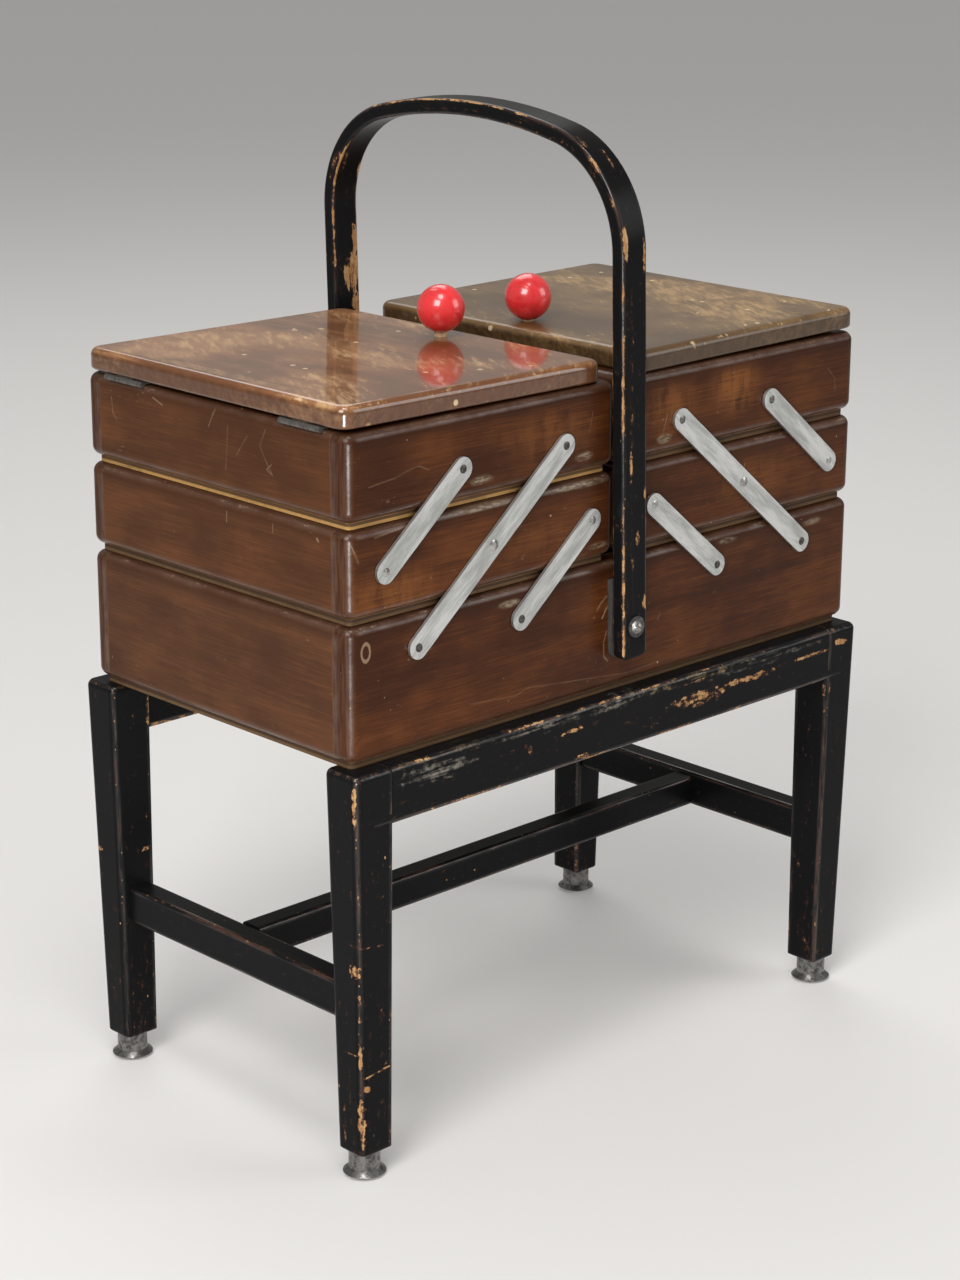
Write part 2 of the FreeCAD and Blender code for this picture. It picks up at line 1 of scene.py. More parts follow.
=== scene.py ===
"""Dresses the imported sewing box: finishes, hinge screws, worn handle, studio and camera."""
import logging
import math
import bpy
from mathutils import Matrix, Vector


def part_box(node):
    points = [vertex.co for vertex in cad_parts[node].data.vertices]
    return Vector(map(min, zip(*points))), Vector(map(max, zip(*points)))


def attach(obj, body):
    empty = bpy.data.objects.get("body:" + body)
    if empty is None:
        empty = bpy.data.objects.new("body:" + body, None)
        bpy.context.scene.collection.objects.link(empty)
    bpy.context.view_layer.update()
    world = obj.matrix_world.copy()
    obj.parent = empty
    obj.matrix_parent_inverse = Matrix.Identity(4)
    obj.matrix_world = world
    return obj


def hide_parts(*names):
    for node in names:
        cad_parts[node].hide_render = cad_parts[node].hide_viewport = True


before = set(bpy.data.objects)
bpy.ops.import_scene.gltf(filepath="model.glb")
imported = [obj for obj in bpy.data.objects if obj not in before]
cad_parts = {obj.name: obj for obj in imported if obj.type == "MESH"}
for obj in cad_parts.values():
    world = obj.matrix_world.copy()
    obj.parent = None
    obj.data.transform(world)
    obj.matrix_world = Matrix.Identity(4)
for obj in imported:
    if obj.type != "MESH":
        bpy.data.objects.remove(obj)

import zlib
from dataclasses import dataclass
from enum import Enum
from typing import Any, Sequence, Union

import bmesh
import bpy
from mathutils import Matrix, Vector

LOG = logging.getLogger("sewing_box")
MM = 0.001  # in metres
HINGE_X = 219.8  # of the lid hinges, in millimetres
Color = tuple[float, float, float]
Pair = tuple[float, float]
Triple = tuple[float, float, float]
Socket = bpy.types.NodeSocket
Material = bpy.types.Material
Settings = dict[str, Any] | None
Sockets = dict[Any, Any] | None


class Axis(Enum):
    """Direction in which a piece or its grain runs."""

    X = 0
    Y = 1
    Z = 2

    @property
    def way(self) -> Triple:
        """Unit vector along the axis."""
        return tuple(float(n == self.value) for n in range(3))


class Side(Enum):
    """Half of the box: its name in the nodes and its sign along X."""

    LEFT = -1
    RIGHT = 1

    @property
    def word(self) -> str:
        """Name of the half in the nodes."""
        return self.name.lower()


class Value:
    """A number that varies over a surface; arithmetic on it adds Math nodes."""

    def __init__(self, graph: "Graph", socket: Socket) -> None:
        """Wraps one output socket of a graph."""
        self.graph = graph
        self.socket = socket

    def math(self, operation: str, *terms: "Scalar") -> "Value":
        """Adds one Math node.

        Args:
            operation: name of the operation.
            terms: its inputs in order.

        Returns:
            The result.
        """
        return self.graph.value("ShaderNodeMath", {"operation": operation}, dict(enumerate(terms)))

    def __add__(self, other: "Scalar") -> "Value":
        """Sum."""
        return self.math("ADD", self, other)

    def __radd__(self, other: "Scalar") -> "Value":
        """Sum with a number in front."""
        return self.math("ADD", other, self)

    def __sub__(self, other: "Scalar") -> "Value":
        """Difference."""
        return self.math("SUBTRACT", self, other)

    def __rsub__(self, other: "Scalar") -> "Value":
        """Difference from a number."""
        return self.math("SUBTRACT", other, self)

    def __mul__(self, other: "Scalar") -> "Value":
        """Product."""
        return self.math("MULTIPLY", self, other)

    def __rmul__(self, other: "Scalar") -> "Value":
        """Product with a number in front."""
        return self.math("MULTIPLY", other, self)

    def __truediv__(self, other: "Scalar") -> "Value":
        """Quotient."""
        return self.math("DIVIDE", self, other)

    def __abs__(self) -> "Value":
        """Size without sign."""
        return self.math("ABSOLUTE", self)

    def root(self) -> "Value":
        """Square root."""
        return self.math("SQRT", self)

    def least(self, other: "Scalar") -> "Value":
        """Smaller of two."""
        return self.math("MINIMUM", self, other)

    def most(self, other: "Scalar") -> "Value":
        """Larger of two."""
        return self.math("MAXIMUM", self, other)

    def rise(self, low: float, high: float) -> "Value":
        """Smooth step.

        Args:
            low: where the step starts, at 0.
            high: where it ends, at 1.

        Returns:
            A mask from 0 to 1.
        """
        return self.graph.value("ShaderNodeMapRange", {"interpolation_type": "SMOOTHSTEP"},
                                {"Value": self, "From Min": low, "From Max": high})

    def fall(self, low: float, high: float) -> "Value":
        """Smooth step downwards, from 1 to 0."""
        return 1.0 - self.rise(low, high)


Scalar = Union[Value, float]
Paint = Union[Color, Socket]


@dataclass(frozen=True)
class Mark:
    """Ragged oval on a face: its centre and radii in millimetres."""

    across: float
    up: float
    width: float
    height: float
    strength: float = 1.0
    fray: float = 1.1


@dataclass(frozen=True)
class Stroke:
    """Scratch along a broken line on a face, in millimetres."""

    points: tuple[Pair, ...]
    width: float = 0.7
    strength: float = 0.7


class Nodes:
    """A node tree to which nodes are added."""

    tree: bpy.types.NodeTree

    def node(self, kind: str, settings: Settings = None, sockets: Sockets = None) -> bpy.types.Node:
        """Adds one node.

        Args:
            kind: type of the node.
            settings: attributes to set first.
            sockets: values or links, by input name or number.

        Returns:
            The node.
        """
        made = self.tree.nodes.new(kind)
        for name, value in (settings or {}).items():
            setattr(made, name, value)
        for key, value in (sockets or {}).items():
            socket = made.inputs[key]
            if isinstance(value, Value):
                self.tree.links.new(value.socket, socket)
            elif isinstance(value, Socket):
                self.tree.links.new(value, socket)
            elif socket.type == "RGBA":
                socket.default_value = (*value, 1.0)
            else:
                socket.default_value = value
        return made


class Graph(Nodes):
    """Node tree of one material or of the world; lengths in it are millimetres."""

    def __init__(self, name: str, tree: bpy.types.NodeTree | None = None) -> None:
        """Empties a tree, that of a new material if none is given."""
        self.material = None
        if tree is None:
            self.material = bpy.data.materials.new(name)
            self.material.use_nodes = True
            tree = self.material.node_tree
        self.tree = tree
        self.tree.nodes.clear()

    def value(self, kind: str, settings: Settings = None, sockets: Sockets = None, output: Any = 0) -> Value:
        """Adds one node and wraps one of its outputs."""
        return Value(self, self.node(kind, settings, sockets).outputs[output])

    def vector(self, operation: str, *terms: Any, **sockets: Any) -> Socket:
        """Adds one Vector Math node and returns its vector."""
        inputs = {**dict(enumerate(terms)), **sockets}
        return self.node("ShaderNodeVectorMath", {"operation": operation}, inputs).outputs[0]

    def place(self) -> Socket:
        """Place on the object, in millimetres."""
        return self.vector("SCALE", self.node("ShaderNodeTexCoord").outputs["Object"], Scale=1 / MM)

    def attribute(self, name: str) -> Socket:
        """Vector that the mesh carries under this name."""
        return self.node("ShaderNodeAttribute", {"attribute_name": name}).outputs["Vector"]

    def parts(self, vector: Socket) -> tuple[Value, Value, Value]:
        """The three numbers of a vector."""
        split = self.node("ShaderNodeSeparateXYZ", None, {0: vector})
        return Value(self, split.outputs[0]), Value(self, split.outputs[1]), Value(self, split.outputs[2])

    def drawn(self, where: Socket, way: Triple, stretch: float, shift: float = 0.0) -> Socket:
        """Place drawn out along one direction, so that patterns run that way.

        Args:
            where: the place.
            way: unit vector of the direction.
            stretch: how much longer than wide the pattern gets.
            shift: moves the pattern.

        Returns:
            The changed place.
        """
        along = self.value("ShaderNodeVectorMath", {"operation": "DOT_PRODUCT"}, {0: where, 1: way}, "Value")
        pull = self.vector("SCALE", way, Scale=along * (1 / stretch - 1))
        return self.vector("ADD", self.vector("ADD", where, pull), (shift, shift * 0.37, shift * 0.61))

    def noise(self, where: Socket, size: float, detail: float = 2.0,
              roughness: float = 0.5, swirl: float = 0.0) -> Value:
        """Soft noise.

        Args:
            where: place to read it at.
            size: size of its largest blots.
            detail: number of finer layers.
            roughness: weight of the finer layers.
            swirl: distortion.

        Returns:
            Values spread about 0.5.
        """
        return self.value("ShaderNodeTexNoise", None, {
            "Vector": where, "Scale": 1 / size, "Detail": detail,
            "Roughness": roughness, "Distortion": swirl})

    def specks(self, where: Socket, size: float, share: float, reach: float = 0.3) -> Value:
        """Small flecks in a few cells of a grid; scratches where the place is drawn out.

        Args:
            where: place to read it at.
            size: distance between cells.
            share: share of the cells that hold a fleck.
            reach: radius of a fleck as a share of the size.

        Returns:
            A mask.
        """
        cell = self.node("ShaderNodeTexVoronoi", None, {"Vector": where, "Scale": 1 / size})
        chosen = self.parts(cell.outputs["Color"])[0].rise(1 - share, 1 - share + 0.01)
        return Value(self, cell.outputs["Distance"]).fall(reach * 0.6, reach) * chosen

    def blend(self, mask: Scalar, under: Paint, over: Paint) -> Socket:
        """Colour that goes from one to another with a mask."""
        return self.node("ShaderNodeMix", {"data_type": "RGBA"}, {0: mask, 6: under, 7: over}).outputs[2]

    def away(self, across: Value, up: Value, mark: Mark) -> Value:
        """Distance from the centre of an oval, 1 on its outline."""
        u = (across - mark.across) / mark.width
        v = (up - mark.up) / mark.height
        return (u * u + v * v).root()

    def blots(self, across: Value, up: Value, marks: Sequence[Mark], rough: Value) -> Value:
        """Ragged oval patches.

        Args:
            across: first coordinate on the face.
            up: second coordinate on the face.
            marks: the ovals.
            rough: noise that frays them.

        Returns:
            A mask.
        """
        mask = rough * 0.0
        for mark in marks:
            far = self.away(across, up, mark) + (rough - 0.5) * (2.0 * mark.fray)
            mask = mask.most(far.fall(0.45, 1.0) * mark.strength)
        return mask

    def glow(self, across: Value, up: Value, marks: Sequence[Mark]) -> Scalar:
        """Soft patches without an outline.

        Args:
            across: first coordinate on the face.
            up: second coordinate on the face.
            marks: the patches.

        Returns:
            A mask.
        """
        mask: Scalar = 0.0
        for mark in marks:
            soft = self.away(across, up, mark).fall(0.1, 1.0) * mark.strength
            mask = soft if isinstance(mask, float) else mask.most(soft)
        return mask

    def lines(self, across: Value, up: Value, strokes: Sequence[Stroke], rough: Value) -> Value:
        """Scratches along broken lines.

        Args:
            across: first coordinate on the face.
            up: second coordinate on the face.
            strokes: the scratches.
            rough: noise that frays them.

        Returns:
            A mask.
        """
        mask = rough * 0.0
        for stroke in strokes:
            nearest = None
            for (u0, v0), (u1, v1) in zip(stroke.points, stroke.points[1:]):
                du, dv = across - u0, up - v0
                run, climb = u1 - u0, v1 - v0
                share = ((du * run + dv * climb) / (run * run + climb * climb)).most(0.0).least(1.0)
                off, lift = du - share * run, dv - share * climb
                away = (off * off + lift * lift).root()
                nearest = away if nearest is None else nearest.least(away)
            frayed = nearest + (rough - 0.5) * (3.0 * stroke.width)
            mask = mask.most(frayed.fall(stroke.width * 0.2, stroke.width) * stroke.strength)
        return mask * (0.25 + rough.rise(0.40, 0.58) * 0.75)

    def seen(self) -> Value:
        """Whether a ray comes from the camera, from a reflection or through glass."""
        path = self.node("ShaderNodeLightPath").outputs
        names = ("Is Camera Ray", "Is Glossy Ray", "Is Transmission Ray")
        camera, glossy, through = (Value(self, path[name]) for name in names)
        return camera.most(glossy).most(through)

    def finish(self, color: Paint, roughness: Scalar, height: Value | None = None,
               depth: float = 0.3, metallic: Scalar = 0.0, **fixed: Any) -> Material:
        """Ends the material.

        Args:
            color: base colour.
            roughness: roughness.
            height: relief in millimetres.
            depth: strength of the relief.
            metallic: metallic share.
            fixed: values of other inputs of the shader, with underscores for blanks.

        Returns:
            The material.
        """
        sockets: dict[str, Any] = {"Base Color": color, "Roughness": roughness, "Metallic": metallic}
        sockets.update({name.replace("_", " "): value for name, value in fixed.items()})
        if height is not None:
            sockets["Normal"] = self.node("ShaderNodeBump", None, {
                "Strength": depth, "Distance": MM, "Height": height}).outputs[0]
        shader = self.node("ShaderNodeBsdfPrincipled", None, sockets)
        self.node("ShaderNodeOutputMaterial", None, {"Surface": shader.outputs[0]})
        return self.material


@dataclass(frozen=True)
class Block:
    """Corners of a piece, in millimetres."""

    low: Triple
    high: Triple

    @classmethod
    def of(cls, node: str) -> "Block":
        """Corners of a node of the frame."""
        low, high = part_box(node)
        return cls(tuple(v / MM for v in low), tuple(v / MM for v in high))

    def gap(self, place: Sequence[Value], axis: Axis) -> Value:
        """Distance to the nearer of two opposite faces."""
        n = axis.value
        return (place[n] - self.low[n]).least(self.high[n] - place[n])

    def edge(self, place: Sequence[Value], axes: Sequence[Axis] = tuple(Axis)) -> Value:
        """Distance of a surface point from the nearest edge between the faces of these axes."""
        gaps = [self.gap(place, axis) for axis in axes]
        if len(gaps) == 2:
            return gaps[0].most(gaps[1])
        a, b, c = gaps
        return a.least(b).most(a.most(b).least(c))


def shade(color: Color, share: float) -> Color:
    """A colour made darker or lighter."""
    return tuple(share * v for v in color)


def seed_of(name: str) -> float:
    """Shift of the patterns of one piece, so that no two pieces look alike."""
    return zlib.crc32(name.encode()) % 977 * 1.7


@dataclass(frozen=True)
class Wear:
    """What years of use left on the outer face of a board."""
    # Marks on the outer face of a board: glue, rings and scratches from years of use, darker patches, and
    # lighter warm patches that are partly a painted sheen.

    warm: tuple[Mark, ...] = ()
    gloom: tuple[Mark, ...] = ()
    glue: tuple[Mark, ...] = ()
    rings: tuple[Mark, ...] = ()
    scratches: tuple[Stroke, ...] = ()


@dataclass(frozen=True)
class StainedWood:
    """Varnished board with a red-brown stain, scuffed along its edges, with a painted sheen on its rounded
    edges and a partly painted shadow along its top; lengths in millimetres.
    """

    dark: Color = (0.034, 0.0105, 0.0042)
    mid: Color = (0.086, 0.0258, 0.0072)
    light: Color = (0.150, 0.0530, 0.0140)
    # Colour of the painted sheen over the rounded edges.
    haze: Color = (0.115, 0.0620, 0.0400)
    bare: Color = (0.420, 0.3000, 0.1850)
    glue: Color = (0.270, 0.2200, 0.1500)
    end_grain: Color = (0.080, 0.0360, 0.0190)
    inside: Color = (0.230, 0.1100, 0.0500)
    gloss: float = 0.30
    scratched: float = 0.6
    board: float = 12.5
    outer_x: float = 212.0

    def make(self, name: str, block: Block, grain: Axis, outside: Axis, free: Sequence[Axis],
             wear: Wear = Wear()) -> Material:
        """Material of one board.

        Args:
            name: name of the material.
            block: corners of the board.
            grain: direction of the grain.
            outside: axis on which the outer face looks.
            free: axes whose faces meet in edges that show.
            wear: marks on the outer face.

        Returns:
            The material.
        """
        g = Graph(name)
        where = g.place()
        place = g.parts(where)
        shift = seed_of(name)
        across, up = place[0 if outside is Axis.Y else 1], place[2]
        flow = g.drawn(where, grain.way, 26.0, shift)
        figure = g.noise(flow, 14.0, 3.0, 0.6, 0.5)
        lines = g.noise(g.drawn(where, grain.way, 34.0, shift), 0.9, 4.0, 0.72)
        patch = g.noise(g.drawn(where, grain.way, 1.6, shift), 40.0, 3.0, 0.6)
        rub = g.noise(g.drawn(where, grain.way, 1.6, shift), 11.0, 5.0, 0.68)
        fine = g.noise(g.drawn(where, grain.way, 3.5, shift), 1.5, 4.0, 0.7)
        edge = block.edge(place, free)
        top = (block.high[2] - up).fall(4.0, 13.0)
        ray = g.noise(g.drawn(where, Axis.Z.way, 3.0, shift), 9.0, 4.0, 0.62)

        color = g.blend((figure * 0.25 + patch * 0.45 + lines * 0.35).rise(0.40, 0.66), self.dark, self.mid)
        color = g.blend((lines * 0.5 + patch * 0.3 + figure * 0.2).rise(0.50, 0.66) * 0.32, color, self.light)
        # Warm, lighter patches: the wood's own figure, partly a painted sheen that stands in for its shimmer.
        warm = g.glow(across, up, wear.warm)
        color = g.blend(warm * (ray * 0.7 + lines * 0.4).rise(0.34, 0.66), color, shade(self.light, 1.3))
        color = g.blend(g.glow(across, up, wear.gloom), color, self.dark)
        # Darker band along the top edge: partly a painted shadow of the tray or lid above, partly darker
        # stain.
        color = g.blend(top * (0.4 + patch * 0.6), color, shade(self.dark, 0.8))
        # Painted sheen: a lighter, greyer band over the rounded edges stands in for the varnish reflecting
        # light there.
        haze = edge.fall(0.5, 6.0) * (0.20 + (patch * 0.6 + rub * 0.6).rise(0.45, 0.75) * 0.5)
        color = g.blend(haze, color, self.haze)
        if outside is Axis.Y:
            shown = 1.0
            ends = block.gap(place, Axis.X).fall(1.0, 5.0)
            ribs = g.noise(g.drawn(where, Axis.Z.way, 14.0, shift), 1.6, 3.0, 0.6)
            color = g.blend(ends * 0.75, color, g.blend(ribs.rise(0.35, 0.65), self.dark, self.end_grain))
            inner = block.gap(place, Axis.Y).rise(self.board, self.board + 1.0)
        else:
            shown = abs(place[0]).rise(self.outer_x, self.outer_x + 4.0)
            seam = block.gap(place, Axis.Y).fall(0.25, 0.8)
            color = g.blend(seam * 0.7 * rub.rise(0.35, 0.55), color, self.light)
            inner = block.gap(place, Axis.X).rise(self.board, self.board + 1.0)

        scuffed = (fine * 0.6 + rub * 0.5 + edge.fall(0.6, 4.0) * (0.03 + top * 0.09)).rise(0.67, 0.80)
        nicks = g.specks(g.drawn(where, (0.15, 0.12, 0.98), 9.0, shift), 2.6, 0.010, 0.12)
        slanting = g.drawn(where, (0.64, -0.62, 0.45), 14.0, shift + 40.0)
        nicks = nicks.most(g.specks(slanting, 2.3, 0.007, 0.11))
        flecks = g.specks(where, 12.0, 0.10, 0.07).most(g.specks(where, 4.5, 0.05, 0.12) * 0.6)
        pale = (scuffed * 0.38).most(nicks * 0.45).most(flecks * 0.7)
        worn = g.lines(across, up, wear.scratches, rub)
        for ring in wear.rings:
            far = abs(g.away(across, up, ring) + (rub - 0.5) * 0.5 - 0.8)
            worn = worn.most(far.fall(0.08, 0.24) * ring.strength)
        pale = pale.most(worn * shown * self.scratched)
        color = g.blend(pale, color, self.bare)
        smear = g.blots(across, up, wear.glue, rub * 0.5 + fine * 0.5) * (0.15 + fine.rise(0.42, 0.62) * 0.85)
        color = g.blend(smear * shown, color, self.glue)
        raw = g.blend(lines.rise(0.35, 0.7), self.inside, shade(self.inside, 0.7))
        color = g.blend(inner, color, raw)
        roughness = self.gloss + haze * 0.10 + pale * 0.25 + smear * 0.3 + (lines - 0.5) * 0.12 + inner * 0.25
        height = lines * 0.03 + patch * 0.35 - pale * 0.08 + smear * 0.12
        coat = edge.fall(1.5, 6.0) * (0.25 + rub.rise(0.35, 0.60) * 0.55) + 0.03
        return g.finish(color, roughness, height, depth=0.30, Specular_IOR_Level=0.09, Coat_Weight=coat,
                        Coat_Roughness=0.26)


@dataclass(frozen=True)
class LidWood:
    """Polished lid with rubbed, golden patches and pale flecks."""

    dark: Color = (0.140, 0.0500, 0.0160)
    mid: Color = (0.300, 0.1160, 0.0390)
    light: Color = (0.370, 0.1820, 0.0760)
    gold: Color = (0.510, 0.3050, 0.1450)
    bare: Color = (0.660, 0.5000, 0.3000)
    gold_share: float = 0.63
    gloss: float = 0.30
    coat: float = 0.85
    coat_gloss: float = 0.06
    slope: float = 0.0096

    def make(self, name: str, block: Block, side: Side, hinge_x: float, gold: Sequence[Mark] = (),
             gloom: Sequence[Mark] = ()) -> Material:
        """Material of one lid.

        Args:
            name: name of the material.
            block: corners of the lid.
            side: half of the box.
            hinge_x: distance of the hinges from the middle.
            gold: rubbed patches on the top.
            gloom: dark patches on the top.

        Returns:
            The material.
        """
        g = Graph(name)
        where = g.place()
        x, y, z = g.parts(where)
        level = z + (hinge_x - x * side.value) * self.slope
        place = (x, y, level)
        shift = seed_of(name)
        flow = g.drawn(where, Axis.Y.way, 16.0, shift)
        figure = g.noise(flow, 20.0, 3.0, 0.55, 0.8)
        lines = g.noise(flow, 1.8, 4.0, 0.65)
        patch = g.noise(g.drawn(where, Axis.Y.way, 1.5, shift), 52.0, 3.0, 0.6)
        rub = g.noise(g.drawn(where, Axis.Y.way, 1.2, shift), 13.0, 5.0, 0.70)
        streak = g.noise(g.drawn(where, (0.50, 0.86, 0.0), 5.0, shift), 5.0, 5.0, 0.72)
        edge = block.edge(place)
        wall = (block.high[2] - level).rise(1.5, 4.0)

        color = g.blend((figure * 0.55 + patch * 0.55).rise(0.40, 0.70), self.dark, self.mid)
        color = g.blend((lines * 0.5 + patch * 0.55).rise(0.46, 0.70) * 0.75, color, self.light)
        color = g.blend(g.glow(x, y, gloom), color, self.dark)
        golden = (streak * 0.6 + patch * 0.45).rise(self.gold_share - 0.10, self.gold_share + 0.06)
        rubbed = g.blots(x, y, gold, rub) * (0.25 + streak.rise(0.40, 0.62) * 0.75)
        golden = golden.most(rubbed) * (1.0 - wall * 0.8)
        bands = g.noise(g.drawn(where, (0.45, 0.45, 0.77), 7.0, shift), 3.4, 3.0, 0.6)
        color = g.blend(wall * (0.65 + bands.rise(0.42, 0.58) * 0.3), color, shade(self.dark, 0.55))
        worn = (rub + edge.fall(1.0, 6.0) * 0.07).rise(0.66, 0.78)
        color = g.blend(golden.most(worn * 0.7) * 0.85, color, self.gold)
        dashes = g.specks(g.drawn(where, (0.9, 0.43, 0.0), 3.0, shift), 9.0, 0.14, 0.10)
        flecks = g.specks(where, 15.0, 0.22, 0.15).most(dashes)
        chips = (rub * 0.6 + streak * 0.45 + edge.fall(0.8, 4.0) * 0.11).rise(0.69, 0.74)
        pale = flecks.most(chips * 0.75)
        color = g.blend(pale * 0.8, color, self.bare)
        roughness = self.gloss + golden * 0.10 + worn * 0.12 + pale * 0.2 + (lines - 0.5) * 0.1
        height = lines * 0.02 + patch * 0.20 - pale * 0.08
        coat = self.coat - golden * 0.35 - pale * 0.4
        return g.finish(color, roughness, height, depth=0.18, Specular_IOR_Level=0.25, Coat_Weight=coat,
                        Coat_Roughness=self.coat_gloss)


@dataclass(frozen=True)
class Plywood:
    """Bare plywood whose edge is dark above and tan below; the dark upper part is partly painted shade from
    the board above and partly stain.
    """

    pale: Color = (0.440, 0.2450, 0.0820)
    brown: Color = (0.045, 0.0210, 0.0095)
    lining: Color = (0.310, 0.1800, 0.0800)

    def make(self, name: str, block: Block) -> Material:
        """Material of one plywood bottom.

        Args:
            name: name of the material.
            block: corners of the bottom.

        Returns:
            The material.
        """
        g = Graph(name)
        where = g.place()
        up = g.parts(where)[2]
        shift = seed_of(name)
        deep = block.high[2] - block.low[2]
        face = up.rise(block.high[2] - 0.4, block.high[2] - 0.1)
        upper_shade_and_stain = (up - block.low[2]).rise(deep * 0.42, deep * 0.52) * (1.0 - face)
        lines = g.noise(g.drawn(where, Axis.X.way, 20.0, shift), 1.2, 4.0, 0.65)
        grime = g.noise(where, 24.0, 4.0, 0.65)
        color = g.blend(lines.rise(0.35, 0.7), self.pale, shade(self.pale, 0.72))
        # Painted shade, with some stain, darkens the upper part of the edge towards brown.
        color = g.blend(upper_shade_and_stain * 0.85, color, self.brown)
        color = g.blend(grime.rise(0.45, 0.75) * 0.5, color, self.brown)
        stain = (lines * 0.6 + grime * 0.5).rise(0.40, 0.68)
        color = g.blend(face, color, g.blend(stain, self.lining, shade(self.lining, 0.6)))
        roughness, height = 0.62 + lines * 0.15, lines * 0.08 - upper_shade_and_stain * 0.1
        return g.finish(color, roughness, height, depth=0.4, Specular_IOR_Level=0.25)


@dataclass(frozen=True)
class BlackPaint:
    """Black satin paint over wood, chipped and rubbed through at the edges."""

    black: Color = (0.0060, 0.0060, 0.0064)
    smoky: Color = (0.0950, 0.0400, 0.0220)
    bare: Color = (0.3000, 0.1350, 0.0500)
    bare_pale: Color = (0.5200, 0.3200, 0.1500)
    dust: Color = (0.2300, 0.2050, 0.1700)
    gilt: Color = (0.3300, 0.2300, 0.1050)
    wear: float = 0.17
    rim: float = 1.4
    gloss: float = 0.30

    def coat(self, g: Graph, where: Socket, flow: Socket, edge: Value,
             gone_more: Scalar = 0.0, dusty: Scalar = 0.0, gilded: Scalar = 0.0) -> Material:
        """Paint over the whole of a piece.

        Args:
            g: graph of the material.
            where: place, for chips.
            flow: place drawn out along the grain.
            edge: distance from the nearest edge.
            gone_more: mask where much of the paint is gone.
            dusty: mask where the paint is scuffed grey.
            gilded: mask where it is rubbed to a golden brown.

        Returns:
            The material.
        """
        grain = g.noise(flow, 1.1, 4.0, 0.65)
        chip = g.noise(where, 4.2, 6.0, 0.80)
        drag = g.noise(flow, 2.8, 4.0, 0.7)
        cloud = g.noise(where, 30.0, 3.0, 0.6)
        arris = edge.fall(self.rim, self.rim + 1.3)
        level = chip * 0.72 + drag * 0.28 + arris * cloud.rise(0.42, 0.62) * self.wear + gone_more * 0.24
        gone = level.rise(0.655, 0.680)
        rubbed = level.rise(0.57, 0.67).most(arris * drag.rise(0.46, 0.60) * 0.6)
        near = edge.fall(self.rim + 0.8, self.rim + 2.4)
        dots = g.specks(where, 2.2, 0.22, 0.24) * near * cloud.rise(0.38, 0.58)
        specks = g.specks(where, 9.0, 0.06, 0.08).most(dots * 0.7)
        nicks = g.specks(g.drawn(where, (0.45, 0.35, 0.82), 8.0), 2.6, 0.010, 0.13)
        wood = g.blend((grain * 0.6 + chip * 0.4).rise(0.40, 0.62), self.bare, self.bare_pale)
        color = g.blend(rubbed * 0.75, self.black, self.smoky)
        dull = (chip * 0.5 + drag * 0.5).rise(0.47, 0.62)
        color = g.blend((dull * dusty).most(nicks * 0.5), color, self.dust)
        color = g.blend(dull * gilded, color, self.gilt)
        bared = gone.most(specks)
        color = g.blend(bared * 0.9, color, wood)
        roughness = self.gloss + rubbed * 0.12 + bared * 0.25 + (dull * dusty) * 0.25 + (cloud - 0.5) * 0.15
        height = cloud * 0.35 + grain * 0.03 - bared * 0.18
        round_edge = (edge.fall(self.rim + 0.4, self.rim + 2.0) - bared).most(0.0)
        coat = round_edge * (0.15 + drag.rise(0.35, 0.60) * 0.6)
        return g.finish(color, roughness, height, depth=0.40, Specular_IOR_Level=0.06, Coat_Weight=coat,
                        Coat_Roughness=0.20)

    def square(self, name: str, block: Block, grain: Axis, free: Sequence[Axis], chips: Sequence[Mark] = (),
               dust: Sequence[Mark] = (), gilt: Sequence[Mark] = ()) -> Material:
        """Paint on a straight square piece.

        Args:
            name: name of the material.
            block: corners of the piece.
            grain: direction of its length.
            free: axes whose faces meet in edges that show.
            chips: patches on the front where the paint is gone.
            dust: patches on the front that are scuffed grey.
            gilt: patches on the front that are rubbed golden.

        Returns:
            The material.
        """
        g = Graph(name)
        where = g.place()
        place = g.parts(where)
        shift = seed_of(name)
        rough = g.noise(where, 7.0, 4.0, 0.65)
        masks = [g.blots(place[0], place[2], marks, rough) if marks else 0.0 for marks in (chips, dust, gilt)]
        moved = g.drawn(where, grain.way, 1.4, shift)
        return self.coat(g, moved, g.drawn(where, grain.way, 14.0, shift), block.edge(place, free), *masks)

    def tapered(self, name: str, leg: "LegShape", side: int, end: int, chips: Sequence[Mark] = (),
                scratches: Sequence[Stroke] = ()) -> Material:
        """Paint on a leg that tapers.

        Args:
            name: name of the material.
            leg: shape of the legs.
            side: sign of the leg along X.
            end: sign of the leg along Y.
            chips: patches by place round the outer corner and height.
            scratches: scratches by the same places.

        Returns:
            The material.
        """
        g = Graph(name)
        where = g.place()
        x, y, z = g.parts(where)
        shift = seed_of(name)
        share = (z - leg.bottom) / (leg.top - leg.bottom)
        half = share * ((leg.width - leg.foot) / 2) + leg.foot / 2
        from_x = x * side - leg.middle_x + (1.0 - share) * leg.foot_in
        from_y = y * end - leg.middle_y
        beside, ahead = half - abs(from_x), half - abs(from_y)
        lid = (leg.top - z).least(z - leg.bottom + 1.0)
        edge = beside.least(ahead).most(beside.most(ahead).least(lid))
        around = (half - from_x) - (half - from_y)
        rough = g.noise(where, 5.0, 4.0, 0.65)
        low = z.fall(leg.bottom, leg.bottom + 110.0) * 0.14
        gone = g.blots(around, z, chips, rough).most(g.lines(around, z, scratches, rough)) + low
        moved = g.drawn(where, Axis.Z.way, 1.6, shift)
        return self.coat(g, moved, g.drawn(where, Axis.Z.way, 12.0, shift), edge, gone)

